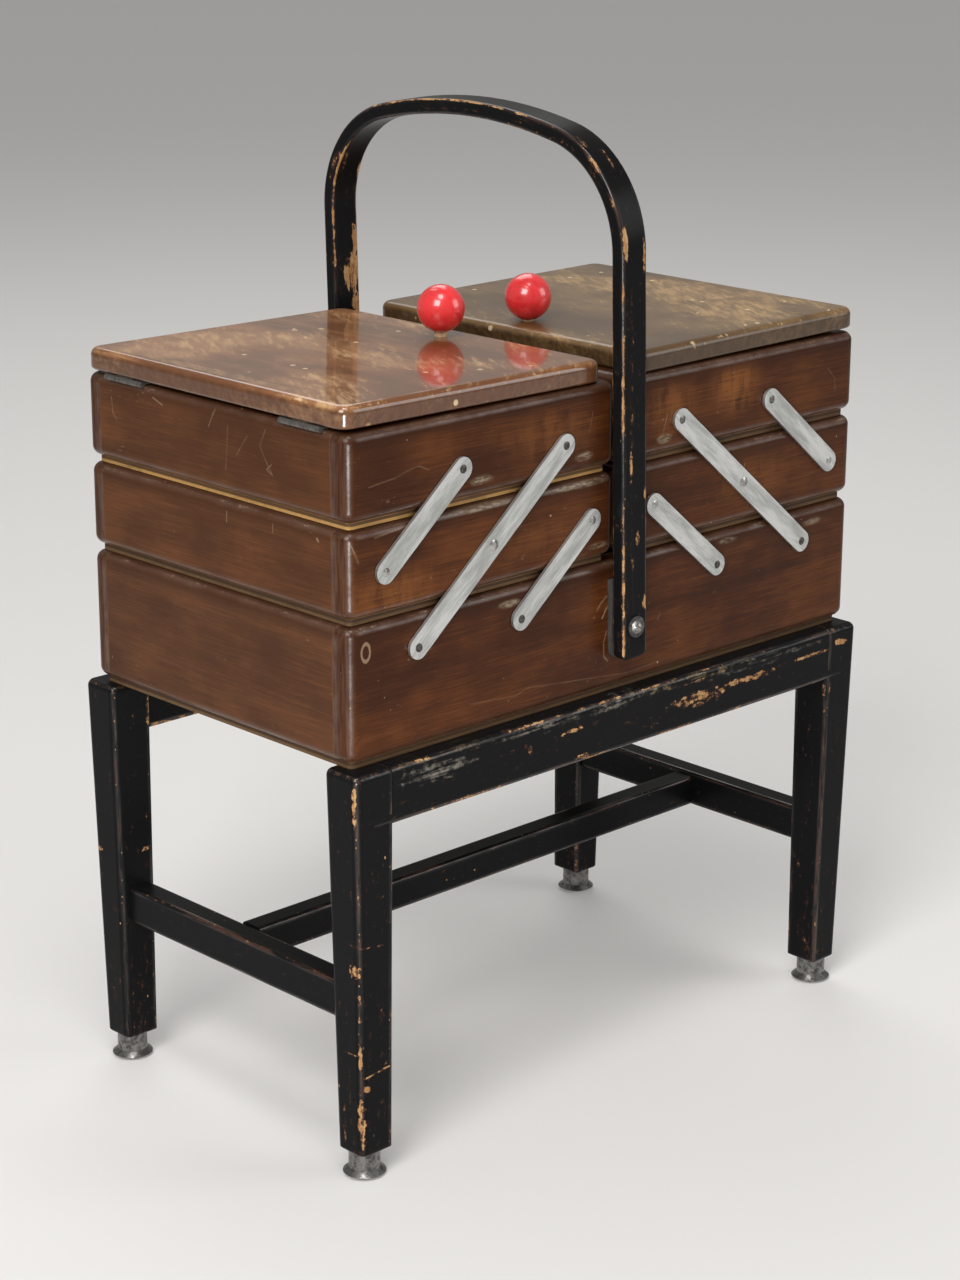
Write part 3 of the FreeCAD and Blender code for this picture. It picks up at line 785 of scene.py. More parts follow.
    def bent(self, name: str, width: float, thickness: float, outer: Sequence[Mark], inner: Sequence[Mark],
             rim: Sequence[Mark], tan: Sequence[Mark]) -> Material:
        """Paint on the bow, which carries its own length, width and depth.

        Args:
            name: name of the material.
            width: width of the bow.
            thickness: thickness of the bow.
            outer: patches on the outer face, by length and place across.
            inner: patches on the inner face, by length and place across.
            rim: patches round the left outer edge, by length and place round it.
            tan: rubbed brown patches round the left outer edge.

        Returns:
            The material.
        """
        g = Graph(name)
        where = g.attribute("bow")
        along, across, depth = g.parts(where)
        edge = (width / 2 - abs(across)).most(thickness / 2 - abs(depth))
        moved = g.drawn(where, Axis.X.way, 1.8)
        rough = g.noise(moved, 6.0, 4.0, 0.65)
        around = (across + width / 2) - (thickness / 2 - depth)
        gone = g.blots(along, across, outer, rough) * depth.rise(1.5, 3.0)
        gone = gone.most(g.blots(along, across, inner, rough) * depth.fall(-3.0, -1.5))
        gone = gone.most(g.blots(along, around, rim, rough))
        brown = g.blots(along, around, tan, rough)
        return self.coat(g, moved, g.drawn(where, Axis.X.way, 12.0), edge, gone + brown * 0.35)


@dataclass(frozen=True)
class RedLacquer:
    """Glossy red lacquer with small marks."""

    red: Color = (0.800, 0.0340, 0.0380)
    deep: Color = (0.560, 0.0160, 0.0190)
    mark: Color = (0.110, 0.0130, 0.0110)

    def make(self, name: str) -> Material:
        """Material of one knob.

        Args:
            name: name of the material.

        Returns:
            The material.
        """
        g = Graph(name)
        where = g.drawn(g.place(), Axis.X.way, 1.0, seed_of(name))
        cloud = g.noise(where, 10.0, 3.0, 0.6)
        color = g.blend(cloud.rise(0.48, 0.72) * 0.6, self.red, self.deep)
        dashes = g.specks(g.drawn(where, (0.5, 0.3, 0.81), 4.0), 2.6, 0.06, 0.14)
        marks = dashes.most(g.specks(where, 3.6, 0.06, 0.13))
        color = g.blend(marks * 0.75, color, self.mark)
        roughness = 0.22 + cloud * 0.12 + marks * 0.3
        height = cloud * 0.3 - marks * 0.08
        return g.finish(color, roughness, height, depth=0.3, Coat_Weight=0.7, Coat_Roughness=0.07)


@dataclass(frozen=True)
class BareWood:
    """Plain unpainted wood."""

    pale: Color = (0.620, 0.4400, 0.2600)
    dark: Color = (0.400, 0.2500, 0.1300)

    def make(self, name: str) -> Material:
        """Material of a small wooden piece.

        Args:
            name: name of the material.

        Returns:
            The material.
        """
        g = Graph(name)
        where = g.place()
        lines = g.noise(g.drawn(where, Axis.Z.way, 12.0), 0.9, 4.0, 0.65)
        grime = g.noise(where, 7.0, 4.0, 0.65)
        color = g.blend((lines * 0.6 + grime * 0.4).rise(0.40, 0.65), self.pale, self.dark)
        return g.finish(color, 0.55 + lines * 0.2, lines * 0.08, depth=0.4, Specular_IOR_Level=0.3)


@dataclass(frozen=True)
class BrushedBar:
    """Aluminium bar, brushed along its length, with a dark ring round its end pivots."""

    bright: Color = (0.720, 0.725, 0.715)
    dull: Color = (0.430, 0.435, 0.420)
    grime: Color = (0.120, 0.110, 0.100)

    def make(self, name: str, way: Triple, pivots: Sequence[Pair]) -> Material:
        """Material of a pair of bars.

        Args:
            name: name of the material.
            way: unit vector along the bars.
            pivots: places of the end pivots.

        Returns:
            The material.
        """
        g = Graph(name)
        where = g.place()
        x, _, z = g.parts(where)
        shift = seed_of(name)
        brush = g.noise(g.drawn(where, way, 24.0, shift), 0.6, 3.0, 0.7)
        cloud = g.noise(g.drawn(where, way, 5.0, shift), 9.0, 4.0, 0.65)
        pits = g.noise(where, 1.5, 3.0, 0.6)
        color = g.blend((cloud * 0.8 + brush * 0.3).rise(0.42, 0.68), self.bright, self.dull)
        color = g.blend(pits.rise(0.64, 0.76) * 0.30, color, self.grime)
        ring = pits * 0.0
        for px, pz in pivots:
            away = ((x - px) * (x - px) + (z - pz) * (z - pz)).root()
            ring = ring.most(away.fall(2.3, 2.8))
        color = g.blend(ring * 0.85, color, self.grime)
        roughness = 0.46 + (brush - 0.5) * 0.2 + (cloud - 0.5) * 0.25 + ring * 0.2
        height = brush * 0.03 + cloud * 0.10 - pits.rise(0.6, 0.75) * 0.04
        return g.finish(color, roughness, height, depth=0.35, metallic=1.0 - ring * 0.5)


@dataclass(frozen=True)
class WornSteel:
    """Steel that is tarnished, with bright rubbed spots."""

    steel: Color = (0.360, 0.350, 0.330)
    tarnish: Color = (0.110, 0.095, 0.080)
    share: float = 0.5
    roughness: float = 0.38

    def make(self, name: str) -> Material:
        """Material of steel pieces.

        Args:
            name: name of the material.

        Returns:
            The material.
        """
        g = Graph(name)
        where = g.place()
        cloud = g.noise(where, 4.0, 4.0, 0.68)
        fine = g.noise(where, 0.6, 2.0, 0.6)
        dirty = (cloud * 0.75 + fine * 0.25).rise(self.share - 0.10, self.share + 0.10)
        color = g.blend(dirty, self.steel, self.tarnish)
        roughness = self.roughness + dirty * 0.22 + (fine - 0.5) * 0.15
        return g.finish(color, roughness, fine * 0.04 + cloud * 0.1, depth=0.4, metallic=1.0 - dirty * 0.35)


def dress(node: str, material: Material) -> None:
    """Gives a node of the frame its material.

    Args:
        node: name of the node.
        material: its finish.
    """
    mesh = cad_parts[node].data
    mesh.materials.clear()
    mesh.materials.append(material)
    LOG.info("%s: %s", node, material.name)


@dataclass(frozen=True)
class LegShape:
    """Sizes of the tapered legs, in millimetres."""

    top: float = 256.5
    bottom: float = 17.0
    width: float = 28.5
    foot: float = 23.4
    foot_in: float = 2.4
    middle_x: float = 209.0
    middle_y: float = 113.0


@dataclass
class Stand:
    """Black stand: four legs, rails, stretchers, glides and screws."""

    shape: LegShape = LegShape()
    paint: BlackPaint = BlackPaint()
    calm: BlackPaint = BlackPaint(wear=0.07)
    metal: WornSteel = WornSteel((0.25, 0.245, 0.235), (0.060, 0.056, 0.052), share=0.52, roughness=0.30)
    rail_chips: tuple[Mark, ...] = (
        Mark(66.0, 239.0, 34.0, 4.2, 0.72), Mark(66.0, 234.5, 9.0, 2.6, 0.6),
        Mark(114.0, 241.0, 28.0, 3.0, 0.75), Mark(177.0, 243.0, 18.0, 2.0, 0.65),
        Mark(-49.0, 243.8, 11.0, 2.0, 0.75), Mark(-84.0, 240.0, 3.0, 4.0, 0.7),
        Mark(-38.0, 225.2, 10.0, 1.8, 0.75), Mark(62.0, 250.0, 18.0, 1.8, 0.55))
    rail_dust: tuple[Mark, ...] = (Mark(-160.0, 246.0, 34.0, 7.0, 0.8), Mark(-60.0, 252.0, 70.0, 4.0, 0.7),
                                   Mark(-5.0, 252.5, 44.0, 4.0, 0.8), Mark(120.0, 250.0, 60.0, 4.0, 0.6))
    rail_gilt: tuple[Mark, ...] = (Mark(66.0, 252.8, 56.0, 3.0, 0.8), Mark(-150.0, 254.0, 60.0, 2.5, 0.4))
    near_chips: tuple[Mark, ...] = (
        Mark(-2.0, 240.0, 2.6, 15.0, 0.66), Mark(-3.3, 136.0, 5.0, 5.5, 1.0),
        Mark(-0.5, 112.0, 1.8, 14.0, 0.5), Mark(-0.5, 80.0, 2.2, 9.0, 0.9),
        Mark(4.0, 60.7, 3.4, 3.0, 1.0), Mark(-0.5, 40.0, 4.0, 20.0, 0.72))
    near_scratches: tuple[Stroke, ...] = (
        Stroke(((-9.0, 152.5), (24.0, 148.6)), 1.2, 0.8), Stroke(((0.0, 67.8), (22.0, 70.5)), 1.3, 0.9),
        Stroke(((-14.5, 82.2), (-2.7, 82.7)), 1.0, 0.8))

    def dress(self) -> None:
        """Paints the wood and finishes the metal."""
        marks = {"left_front": (self.near_chips, self.near_scratches),
                 "right_front": ((Mark(17.0, 246.0, 7.0, 2.6, 0.95), Mark(25.0, 214.0, 2.0, 6.0, 0.7)), ()),
                 "left_back": ((Mark(-1.0, 236.0, 2.5, 14.0, 0.6), Mark(-6.0, 144.0, 4.0, 2.5, 0.9)), ())}
        for side in Side:
            for end, sign in (("front", -1), ("back", 1)):
                name = f"{side.word}_{end}_leg"
                chips, scratches = marks.get(f"{side.word}_{end}", ((), ()))
                dress(name, self.calm.tapered(name, self.shape, side.value, sign, chips, scratches))
            name = f"{side.word}_stretcher"
            dress(name, self.calm.square(name, Block.of(name), Axis.Y, (Axis.X, Axis.Z)))
        name = "centre_stretcher"
        dress(name, self.calm.square(name, Block.of(name), Axis.X, (Axis.Y, Axis.Z)))
        front = (self.rail_chips, self.rail_dust, self.rail_gilt)
        for name, wear in (("front_rail", front), ("back_rail", ())):
            dress(name, self.paint.square(name, Block.of(name), Axis.X, (Axis.Y, Axis.Z), *wear))
        for name in ("leg_glides", "stand_screws"):
            dress(name, self.metal.make(name))


@dataclass
class Case:
    """Lower case: boards, plywood bottom and pivot pins."""

    wood: StainedWood = StainedWood()
    end_wood: StainedWood = StainedWood(dark=(0.054, 0.0205, 0.0090), mid=(0.094, 0.0360, 0.0150))
    ply: Plywood = Plywood((0.130, 0.072, 0.032), (0.040, 0.020, 0.010))
    pins: WornSteel = WornSteel((0.16, 0.15, 0.14), (0.030, 0.026, 0.023), share=0.46, roughness=0.40)
    wear: Wear = Wear(
        glue=(Mark(-95.0, 331.5, 12.0, 3.0, 0.8), Mark(98.0, 334.0, 12.0, 2.4, 0.5),
              Mark(182.0, 331.5, 11.0, 3.0, 0.6)),
        rings=(Mark(-207.5, 325.8, 4.0, 6.4, 0.7),),
        scratches=(
            Stroke(((-11.9, 319.2), (-16.5, 316.2), (-20.0, 312.0)), 1.1, 0.6),
            Stroke(((-8.0, 314.5), (-11.7, 311.9), (-15.3, 306.3)), 1.0, 0.95),
            Stroke(((-11.3, 297.0), (-13.7, 290.4), (-13.3, 281.5), (-10.0, 278.0)), 1.1, 0.5),
            Stroke(((36.8, 299.0), (34.8, 295.0)), 0.7, 0.5),
            Stroke(((-125.9, 276.7), (-89.0, 273.3), (-78.7, 276.1), (6.7, 266.5), (36.4, 267.6)), 0.7, 0.2)))

    def dress(self) -> None:
        """Stains the boards."""
        for end, wear in (("front", self.wear), ("back", Wear())):
            name = f"case_{end}"
            dress(name, self.wood.make(name, Block.of(name), Axis.X, Axis.Y, tuple(Axis), wear))
        for side in Side:
            name = f"case_{side.word}_end"
            dress(name, self.end_wood.make(name, Block.of(name), Axis.Y, Axis.X, (Axis.X, Axis.Z)))
        dress("case_bottom", self.ply.make("case_bottom", Block.of("case_bottom")))
        dress("case_pivot_pins", self.pins.make("case_pivot_pins"))


@dataclass
class Tray:
    """One tray: boards, plywood bottom and pivot pins."""

    side: Side
    level: str
    front: Wear = Wear()
    end: Wear = Wear()
    wood: StainedWood = StainedWood()
    end_wood: StainedWood = StainedWood(dark=(0.056, 0.0200, 0.0080), mid=(0.100, 0.0365, 0.0135))
    ply: Plywood = Plywood()
    pins: WornSteel = WornSteel((0.20, 0.19, 0.18), (0.032, 0.028, 0.025), share=0.48, roughness=0.36)

    def dress(self) -> None:
        """Stains the boards."""
        base = f"{self.side.word}_{self.level}_tray"
        for end, wear in (("front", self.front), ("back", Wear())):
            name = f"{base}_{end}"
            dress(name, self.wood.make(name, Block.of(name), Axis.X, Axis.Y, tuple(Axis), wear))
        name = f"{base}_ends"
        dress(name, self.end_wood.make(name, Block.of(name), Axis.Y, Axis.X, (Axis.X, Axis.Z), self.end))
        dress(f"{base}_bottom", self.ply.make(f"{base}_bottom", Block.of(f"{base}_bottom")))
        dress(f"{base}_pins", self.pins.make(f"{base}_pins"))


@dataclass
class Lid:
    """One lid with its knob and hinges."""

    side: Side
    wood: LidWood
    gold: tuple[Mark, ...] = ()
    gloom: tuple[Mark, ...] = ()
    hinge_x: float = HINGE_X
    lacquer: RedLacquer = RedLacquer()
    peg: BareWood = BareWood()
    metal: WornSteel = WornSteel((0.22, 0.21, 0.195), (0.085, 0.075, 0.065), share=0.48, roughness=0.45)

    def dress(self) -> None:
        """Polishes the lid, lacquers the knob and tarnishes the hinges."""
        word = self.side.word
        name = f"{word}_lid"
        dress(name, self.wood.make(name, Block.of(name), self.side, self.hinge_x, self.gold, self.gloom))
        dress(f"{word}_knob", self.lacquer.make(f"{word}_knob"))
        dress(f"{word}_knob_peg", self.peg.make(f"{word}_knob_peg"))
        hinge = self.metal.make(f"{word}_hinges")
        for piece in ("hinge_lid_leaves", "hinge_tray_leaves", "hinge_pins"):
            dress(f"{word}_{piece}", hinge)


@dataclass
class LinkBars:
    """The flat bars that carry the trays of one half."""

    side: Side
    run: float = 59.18
    rise: float = 49.4
    case_z: float = 321.0
    long_x: float = 168.96
    inner_x: float = 86.68
    outer_x: float = 193.6
    metal: BrushedBar = BrushedBar()

    def dress(self) -> None:
        """Brushes the bars."""
        sign = self.side.value
        size = math.hypot(self.run, self.rise)
        way = (-sign * self.run / size, 0.0, self.rise / size)
        starts = {"long": (self.long_x, self.case_z, 3), "inner": (self.inner_x, self.case_z, 2),
                  "outer": (self.outer_x, self.case_z + self.rise, 2)}
        for kind, (x, z, count) in starts.items():
            pivots = [(sign * (x - n * self.run), z + n * self.rise) for n in range(0, count, count - 1)]
            name = f"{self.side.word}_{kind}_bars"
            dress(name, self.metal.make(name, way, pivots))


@dataclass
class Handle:
    """Bent-wood bow on its two screws; the sizes are those of the frame, in millimetres."""

    width: float = 21.0
    thickness: float = 9.8
    pivot_z: float = 300.8
    foot: float = 20.5
    rise: float = 307.5
    crown_r: float = 340.0
    shoulder_r: float = 72.5
    outside: float = 132.6
    lean: float = 1.7
    weld: float = 1e-6
    paint: BlackPaint = BlackPaint(wear=0.21, rim=0.7)
    spacer: BareWood = BareWood((0.060, 0.052, 0.046), (0.022, 0.020, 0.019))
    washer: WornSteel = WornSteel((0.16, 0.155, 0.15), (0.040, 0.037, 0.034), share=0.47, roughness=0.36)
    screw: WornSteel = WornSteel((0.34, 0.33, 0.31), (0.090, 0.082, 0.074), share=0.52, roughness=0.38)
    outer: tuple[Mark, ...] = (
        Mark(35.0, 8.0, 5.5, 4.0, 1.0), Mark(256.0, -7.5, 14.0, 2.6, 0.8), Mark(247.0, 8.0, 12.0, 2.2, 0.85),
        Mark(75.0, 2.0, 6.0, 2.6, 0.75), Mark(122.0, -4.0, 12.0, 1.6, 0.6), Mark(102.0, 8.5, 6.0, 2.0, 0.7),
        Mark(322.0, -7.0, 10.0, 3.0, 0.55), Mark(306.0, 2.0, 10.0, 2.0, 0.5))
    inner: tuple[Mark, ...] = (
        Mark(604.0, 7.5, 14.0, 4.5), Mark(626.0, 4.0, 15.0, 9.0), Mark(648.0, 7.0, 12.0, 5.5),
        Mark(556.0, 10.0, 10.0, 3.0, 0.8), Mark(580.0, 9.5, 30.0, 1.6, 0.6))
    rim: tuple[Mark, ...] = (Mark(417.0, 0.0, 54.0, 1.5, 0.85), Mark(322.0, 0.5, 12.0, 1.6, 0.6),
                             Mark(300.0, -2.0, 30.0, 2.0, 0.40))
    tan: tuple[Mark, ...] = (
        Mark(150.0, 7.5, 110.0, 2.4, 1.0), Mark(432.0, -5.5, 40.0, 3.0, 0.8),
        Mark(553.0, -6.0, 18.0, 4.0, 1.0), Mark(310.0, -6.0, 40.0, 2.5, 0.7))

    def build(self) -> bpy.types.Object:
        """Copies the bow and writes length, width and depth along it on its points.

        Returns:
            The piece that stands for the bow.
        """
        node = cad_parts["handle_bow"]
        mesh = node.data.copy()
        shell = bmesh.new()
        shell.from_mesh(mesh)
        bmesh.ops.remove_doubles(shell, verts=shell.verts, dist=self.weld)
        shell.to_mesh(mesh)
        shell.free()
        upright = Matrix.Rotation(math.radians(self.lean), 3, "Y")
        pivot = Vector((0.0, 0.0, self.pivot_z))
        places = [upright @ (v.co / MM - pivot) for v in mesh.vertices]
        layer = mesh.attributes.new("bow", "FLOAT_VECTOR", "POINT")
        layer.data.foreach_set("vector", [c for p in places for c in self.unbend(p)])
        mesh.shade_smooth()
        piece = bpy.data.objects.new("handle_bow_painted", mesh)
        bpy.context.scene.collection.objects.link(piece)
        smooth = piece.modifiers.new("even", "WEIGHTED_NORMAL")
        smooth.weight = 100
        return piece

    def unbend(self, place: Vector) -> Triple:
        """Length along the bow from its front foot, place across it and depth in it.

        Args:
            place: point of the upright bow, from the pivots, in millimetres.

        Returns:
            The three lengths.
        """
        x, y, z = place
        side = 1.0 if y > 0 else -1.0
        y = abs(y)
        half = self.thickness / 2
        crown_z = self.rise - self.crown_r
        arm = self.outside - self.shoulder_r
        shoulder_z = crown_z + math.sqrt((self.crown_r - self.shoulder_r) ** 2 - arm ** 2)
        tilt = math.atan2(shoulder_z - crown_z, arm)
        straight = shoulder_z + self.foot
        turn = (self.shoulder_r - half) * tilt
        arch = (self.crown_r - half) * (math.pi / 2 - tilt)
        around = math.atan2(z - shoulder_z, y - arm)
        over = math.atan2(z - crown_z, y)
        if z < shoulder_z:
            along, depth = z + self.foot, y - (self.outside - half)
        elif around < tilt and y > arm:
            along = straight + (self.shoulder_r - half) * around
            depth = math.hypot(z - shoulder_z, y - arm) - (self.shoulder_r - half)
        else:
            along = straight + turn + (self.crown_r - half) * (over - tilt)
            depth = math.hypot(z - crown_z, y) - (self.crown_r - half)
        whole = straight + turn + arch
        return (along if side < 0 else 2 * whole - along), x, depth

    def dress(self) -> None:
        """Puts the worn bow in place of the plain one and finishes its fittings."""
        piece = self.build()
        piece.data.materials.clear()
        piece.data.materials.append(self.paint.bent(
            "handle_bow_paint", self.width, self.thickness, self.outer, self.inner, self.rim, self.tan))
        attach(piece, "handle")
        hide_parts("handle_bow")
        LOG.info("%s: %s", piece.name, piece.data.materials[0].name)
        dress("handle_spacers", self.spacer.make("handle_spacers"))
        dress("handle_washers", self.washer.make("handle_washers"))
        dress("handle_screws", self.screw.make("handle_screws"))


class Tree(Nodes):
    """Geometry Nodes tree with named inputs."""

    def __init__(self, name: str) -> None:
        """Makes an empty tree with one mesh output."""
        self.tree = bpy.data.node_groups.new(name, "GeometryNodeTree")
        self.tree.interface.new_socket("Geometry", in_out="OUTPUT", socket_type="NodeSocketGeometry")
        self.inputs: dict[str, str] = {}
        self.entry = self.tree.nodes.new("NodeGroupInput")

    def size(self, name: str, kind: str = "NodeSocketFloat") -> Socket:
        """Adds a named input.

        Args:
            name: name of the input.
            kind: type of its socket.

        Returns:
            The socket inside the tree.
        """
        made = self.tree.interface.new_socket(name, in_out="INPUT", socket_type=kind)
        self.inputs[name] = made.identifier
        return next(s for s in self.entry.outputs if s.identifier == made.identifier)

    def add(self, kind: str, settings: Settings = None, sockets: Sockets = None, output: Any = 0) -> Socket:
        """Adds one node and returns one of its outputs."""
        return self.node(kind, settings, sockets).outputs[output]

    def end(self, geometry: Socket) -> None:
        """Links the result to the output."""
        self.node("NodeGroupOutput", None, {0: geometry})


@dataclass
class HingeScrews:
    """Slotted screws in the leaves of the lid hinges, three in each leaf; millimetres."""

    spacing: float = 12.0
    hinge_offset: float = 80.0
    head: float = 2.1
    height: float = 0.5
    proud: float = 0.03
    slot: float = 0.5
    slot_run: float = 3.0
    slot_lift: float = 1.3
    taper: float = 0.9
    sides: int = 24
    hinges: int = 2
    per_leaf: int = 3
    seed: int = 7
    inset: float = 7.2
    hinge_x: float = HINGE_X
    hinge_z: float = 451.9
    tray_leaf: float = 453.0
    lid_leaf: float = 453.2
    settle: float = 0.5317
    metal: WornSteel = WornSteel((0.42, 0.41, 0.39), (0.12, 0.105, 0.09), share=0.50, roughness=0.36)

    def tree(self) -> Tree:
        """Tree that sets one row of screws in each of two hinges.

        Returns:
            The tree.
        """
        t = Tree("hinge_screws")
        pitch, offset = t.size("Screw Spacing"), t.size("Hinge Offset")
        radius, height, width = t.size("Head Radius"), t.size("Head Height"), t.size("Slot Width")
        finish = t.size("Finish", "NodeSocketMaterial")

        def row(gap: Socket, count: int) -> Socket:
            """Points along Y, centred."""
            step = t.add("ShaderNodeCombineXYZ", None, {1: gap})
            back = t.add("ShaderNodeVectorMath", {"operation": "SCALE"}, {0: step, "Scale": (1 - count) / 2})
            return t.add("GeometryNodeMeshLine", {"mode": "OFFSET"},
                         {"Count": count, "Start Location": back, "Offset": step})

        double = t.add("ShaderNodeMath", {"operation": "MULTIPLY"}, {0: offset, 1: 2.0})
        hinges = t.add("GeometryNodeInstanceOnPoints", None,
                       {"Points": row(double, self.hinges), "Instance": row(pitch, self.per_leaf)})
        points = t.add("GeometryNodeRealizeInstances", None, {0: hinges})
        upper = t.add("ShaderNodeMath", {"operation": "MULTIPLY"}, {0: radius, 1: self.taper})
        body = t.add("GeometryNodeMeshCone", None, {
            "Vertices": self.sides, "Radius Top": upper, "Radius Bottom": radius, "Depth": height})
        across = t.add("ShaderNodeMath", {"operation": "MULTIPLY"}, {0: radius, 1: self.slot_run})
        cutter = t.add("GeometryNodeMeshCube", None, {
            "Size": t.add("ShaderNodeCombineXYZ", None, {0: across, 1: width, 2: height})})
        lift = t.add("ShaderNodeMath", {"operation": "MULTIPLY"}, {0: height, 1: self.slot_lift})
        cutter = t.add("GeometryNodeTransform", None, {
            0: cutter, "Translation": t.add("ShaderNodeCombineXYZ", None, {2: lift})})
        screw = t.add("GeometryNodeMeshBoolean", {"operation": "DIFFERENCE"},
                      {"Mesh 1": body, "Mesh 2": cutter})
        turn = t.add("FunctionNodeRandomValue", {"data_type": "FLOAT"},
                     {2: 0.0, 3: math.pi, "Seed": self.seed}, 1)
        spin = t.add("ShaderNodeCombineXYZ", None, {2: turn})
        placed = t.add("GeometryNodeInstanceOnPoints", None,
                       {"Points": points, "Instance": screw, "Rotation": spin})
        real = t.add("GeometryNodeRealizeInstances", None, {0: placed})
        t.end(t.add("GeometryNodeSetMaterial", None, {0: real, "Material": finish}))
        return t

    def build(self, name: str, tree: Tree, finish: Material, place: Matrix) -> bpy.types.Object:
        """Makes the screws of the two leaves on one body.

        Args:
            name: name of the piece.
            tree: tree of the screws.
            finish: their material.
            place: where the row goes.

        Returns:
            The piece, as a plain mesh.
        """
        seed = bpy.data.objects.new(name + "_seed", bpy.data.meshes.new(name + "_seed"))
        bpy.context.scene.collection.objects.link(seed)
        modifier = seed.modifiers.new("screws", "NODES")
        modifier.node_group = tree.tree
        for key, value in (("Screw Spacing", self.spacing * MM), ("Hinge Offset", self.hinge_offset * MM),
                           ("Head Radius", self.head * MM), ("Head Height", self.height * MM),
                           ("Slot Width", self.slot * MM), ("Finish", finish)):
            modifier[tree.inputs[key]] = value
        depsgraph = bpy.context.evaluated_depsgraph_get()
        mesh = bpy.data.meshes.new_from_object(seed.evaluated_get(depsgraph))
        bpy.data.objects.remove(seed)
        mesh.transform(place)
        piece = bpy.data.objects.new(name, mesh)
        bpy.context.scene.collection.objects.link(piece)
        return piece

    def dress(self) -> None:
        """Sets the screws in the leaves on the trays and on the lids."""
        tree = self.tree()
        finish = self.metal.make("hinge_screws")
        for side in Side:
            x = side.value * (self.hinge_x - self.inset)
            on_tray = Matrix.Translation((x * MM, 0, (self.tray_leaf - self.height + self.proud) * MM))
            over = Matrix.Translation((x * MM, 0, (self.lid_leaf + self.height - self.proud) * MM))
            axis = Matrix.Translation((side.value * self.hinge_x * MM, 0, self.hinge_z * MM))
            tip = Matrix.Rotation(math.radians(-self.settle * side.value), 4, "Y")
            on_lid = axis @ tip @ axis.inverted() @ over @ Matrix.Rotation(math.pi, 4, "Y")
            for kind, body, place in (("tray", "upper_tray", on_tray), ("lid", "lid", on_lid)):
                piece = self.build(f"{side.word}_hinge_{kind}_screws", tree, finish, place)
                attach(piece, f"{side.word}_{body}")
                LOG.info("%s: %d faces", piece.name, len(piece.data.polygons))


@dataclass(frozen=True)
class Lamp:
    """Soft lamp: where it hangs, its width and height, its power and the point that it faces."""

    name: str
    place: Triple
    width: float
    height: float
    power: float
    target: Triple = (0.0, 0.0, 0.32)
    spread: float = 180.0

    def hang(self) -> None:
        """Adds the lamp to the scene."""
        lamp = bpy.data.lights.new(self.name, "AREA")
        lamp.shape = "RECTANGLE"
        lamp.size = self.width
        lamp.size_y = self.height
        lamp.energy = self.power
        lamp.spread = math.radians(self.spread)
        holder = bpy.data.objects.new(self.name, lamp)
        holder.location = self.place
        aim = Vector(self.target) - Vector(self.place)
        holder.rotation_euler = aim.to_track_quat("-Z", "Y").to_euler()
        holder.visible_camera = False
        bpy.context.scene.collection.objects.link(holder)


@dataclass
class Studio:
    """Pale floor, soft lamps and the camera of the photograph."""

    eye: Triple = (-1.2173, -1.2541, 0.8037)
    yaw: float = 44.07
    pitch: float = 17.21
    roll: float = 0.22
    lens: float = 79.875
    sensor: float = 36.0
    floor: Color = (0.600, 0.585, 0.565)
    shine: float = 0.14
    reach: float = 30.0
    sky: Color = (0.300, 0.305, 0.310)
    wall: Color = (0.275, 0.272, 0.255)
    lamps: tuple[Lamp, ...] = (
        Lamp("key", (-2.2, -1.0, 2.1), 1.3, 1.3, 58.0),
        Lamp("top", (-0.67, -0.67, 2.6), 0.8, 0.8, 20.0),
        Lamp("back", (1.0, 1.6, 2.6), 1.8, 1.8, 26.0),
        Lamp("fill", (1.7, -2.1, 1.4), 1.4, 1.4, 20.0),
        Lamp("low", (-0.98, -0.94, 0.16), 0.30, 0.26, 0.7, (-0.2, -0.11, 0.22), 50.0))

    def build(self) -> None:
        """Makes the floor, the light and the camera."""
        self.lay_floor()
        self.light()
        self.aim()

    def lay_floor(self) -> None:
        """Lays the floor."""
        mesh = bpy.data.meshes.new("floor")
        r = self.reach
        corners = [(-r, -r, 0), (r, -r, 0), (r, r, 0), (-r, r, 0)]
        mesh.from_pydata(corners, [], [(0, 1, 2, 3)])
        g = Graph("floor")
        glow = g.blend(g.seen(), (0.0, 0.0, 0.0), shade(self.floor, self.shine / max(self.floor)))
        mesh.materials.append(g.finish(self.floor, roughness=0.8, Specular_IOR_Level=0.2,
                                       Emission_Color=glow, Emission_Strength=1.0))
        floor = bpy.data.objects.new("floor", mesh)
        bpy.context.scene.collection.objects.link(floor)

    def light(self) -> None:
        """Sets the sky and the lamps."""
        scene = bpy.context.scene
        scene.view_settings.view_transform = "Standard"
        world = bpy.data.worlds.new("studio")
        scene.world = world
        world.use_nodes = True
        g = Graph("studio", world.node_tree)
        sky = g.node("ShaderNodeBackground", None, {"Color": g.blend(g.seen(), self.sky, self.wall)})
        g.node("ShaderNodeOutputWorld", None, {"Surface": sky.outputs[0]})
        for lamp in self.lamps:
            lamp.hang()

    def aim(self) -> None:
        """Places the camera where the photograph was taken from."""
        yaw, pitch, roll = (math.radians(a) for a in (self.yaw, self.pitch, self.roll))
        ahead = Vector((math.sin(yaw) * math.cos(pitch), math.cos(yaw) * math.cos(pitch), -math.sin(pitch)))
        right = Vector((math.cos(yaw), -math.sin(yaw), 0.0))
        up = right.cross(ahead)
        level = math.cos(roll) * right + math.sin(roll) * up
        tall = math.cos(roll) * up - math.sin(roll) * right
        lens = bpy.data.cameras.new("camera")
        lens.lens = self.lens
        lens.sensor_width = self.sensor
        camera = bpy.data.objects.new("camera", lens)
        turn = Matrix((level, tall, -ahead)).transposed().to_4x4()
        camera.matrix_world = Matrix.Translation(self.eye) @ turn
        bpy.context.scene.collection.objects.link(camera)
        bpy.context.scene.camera = camera


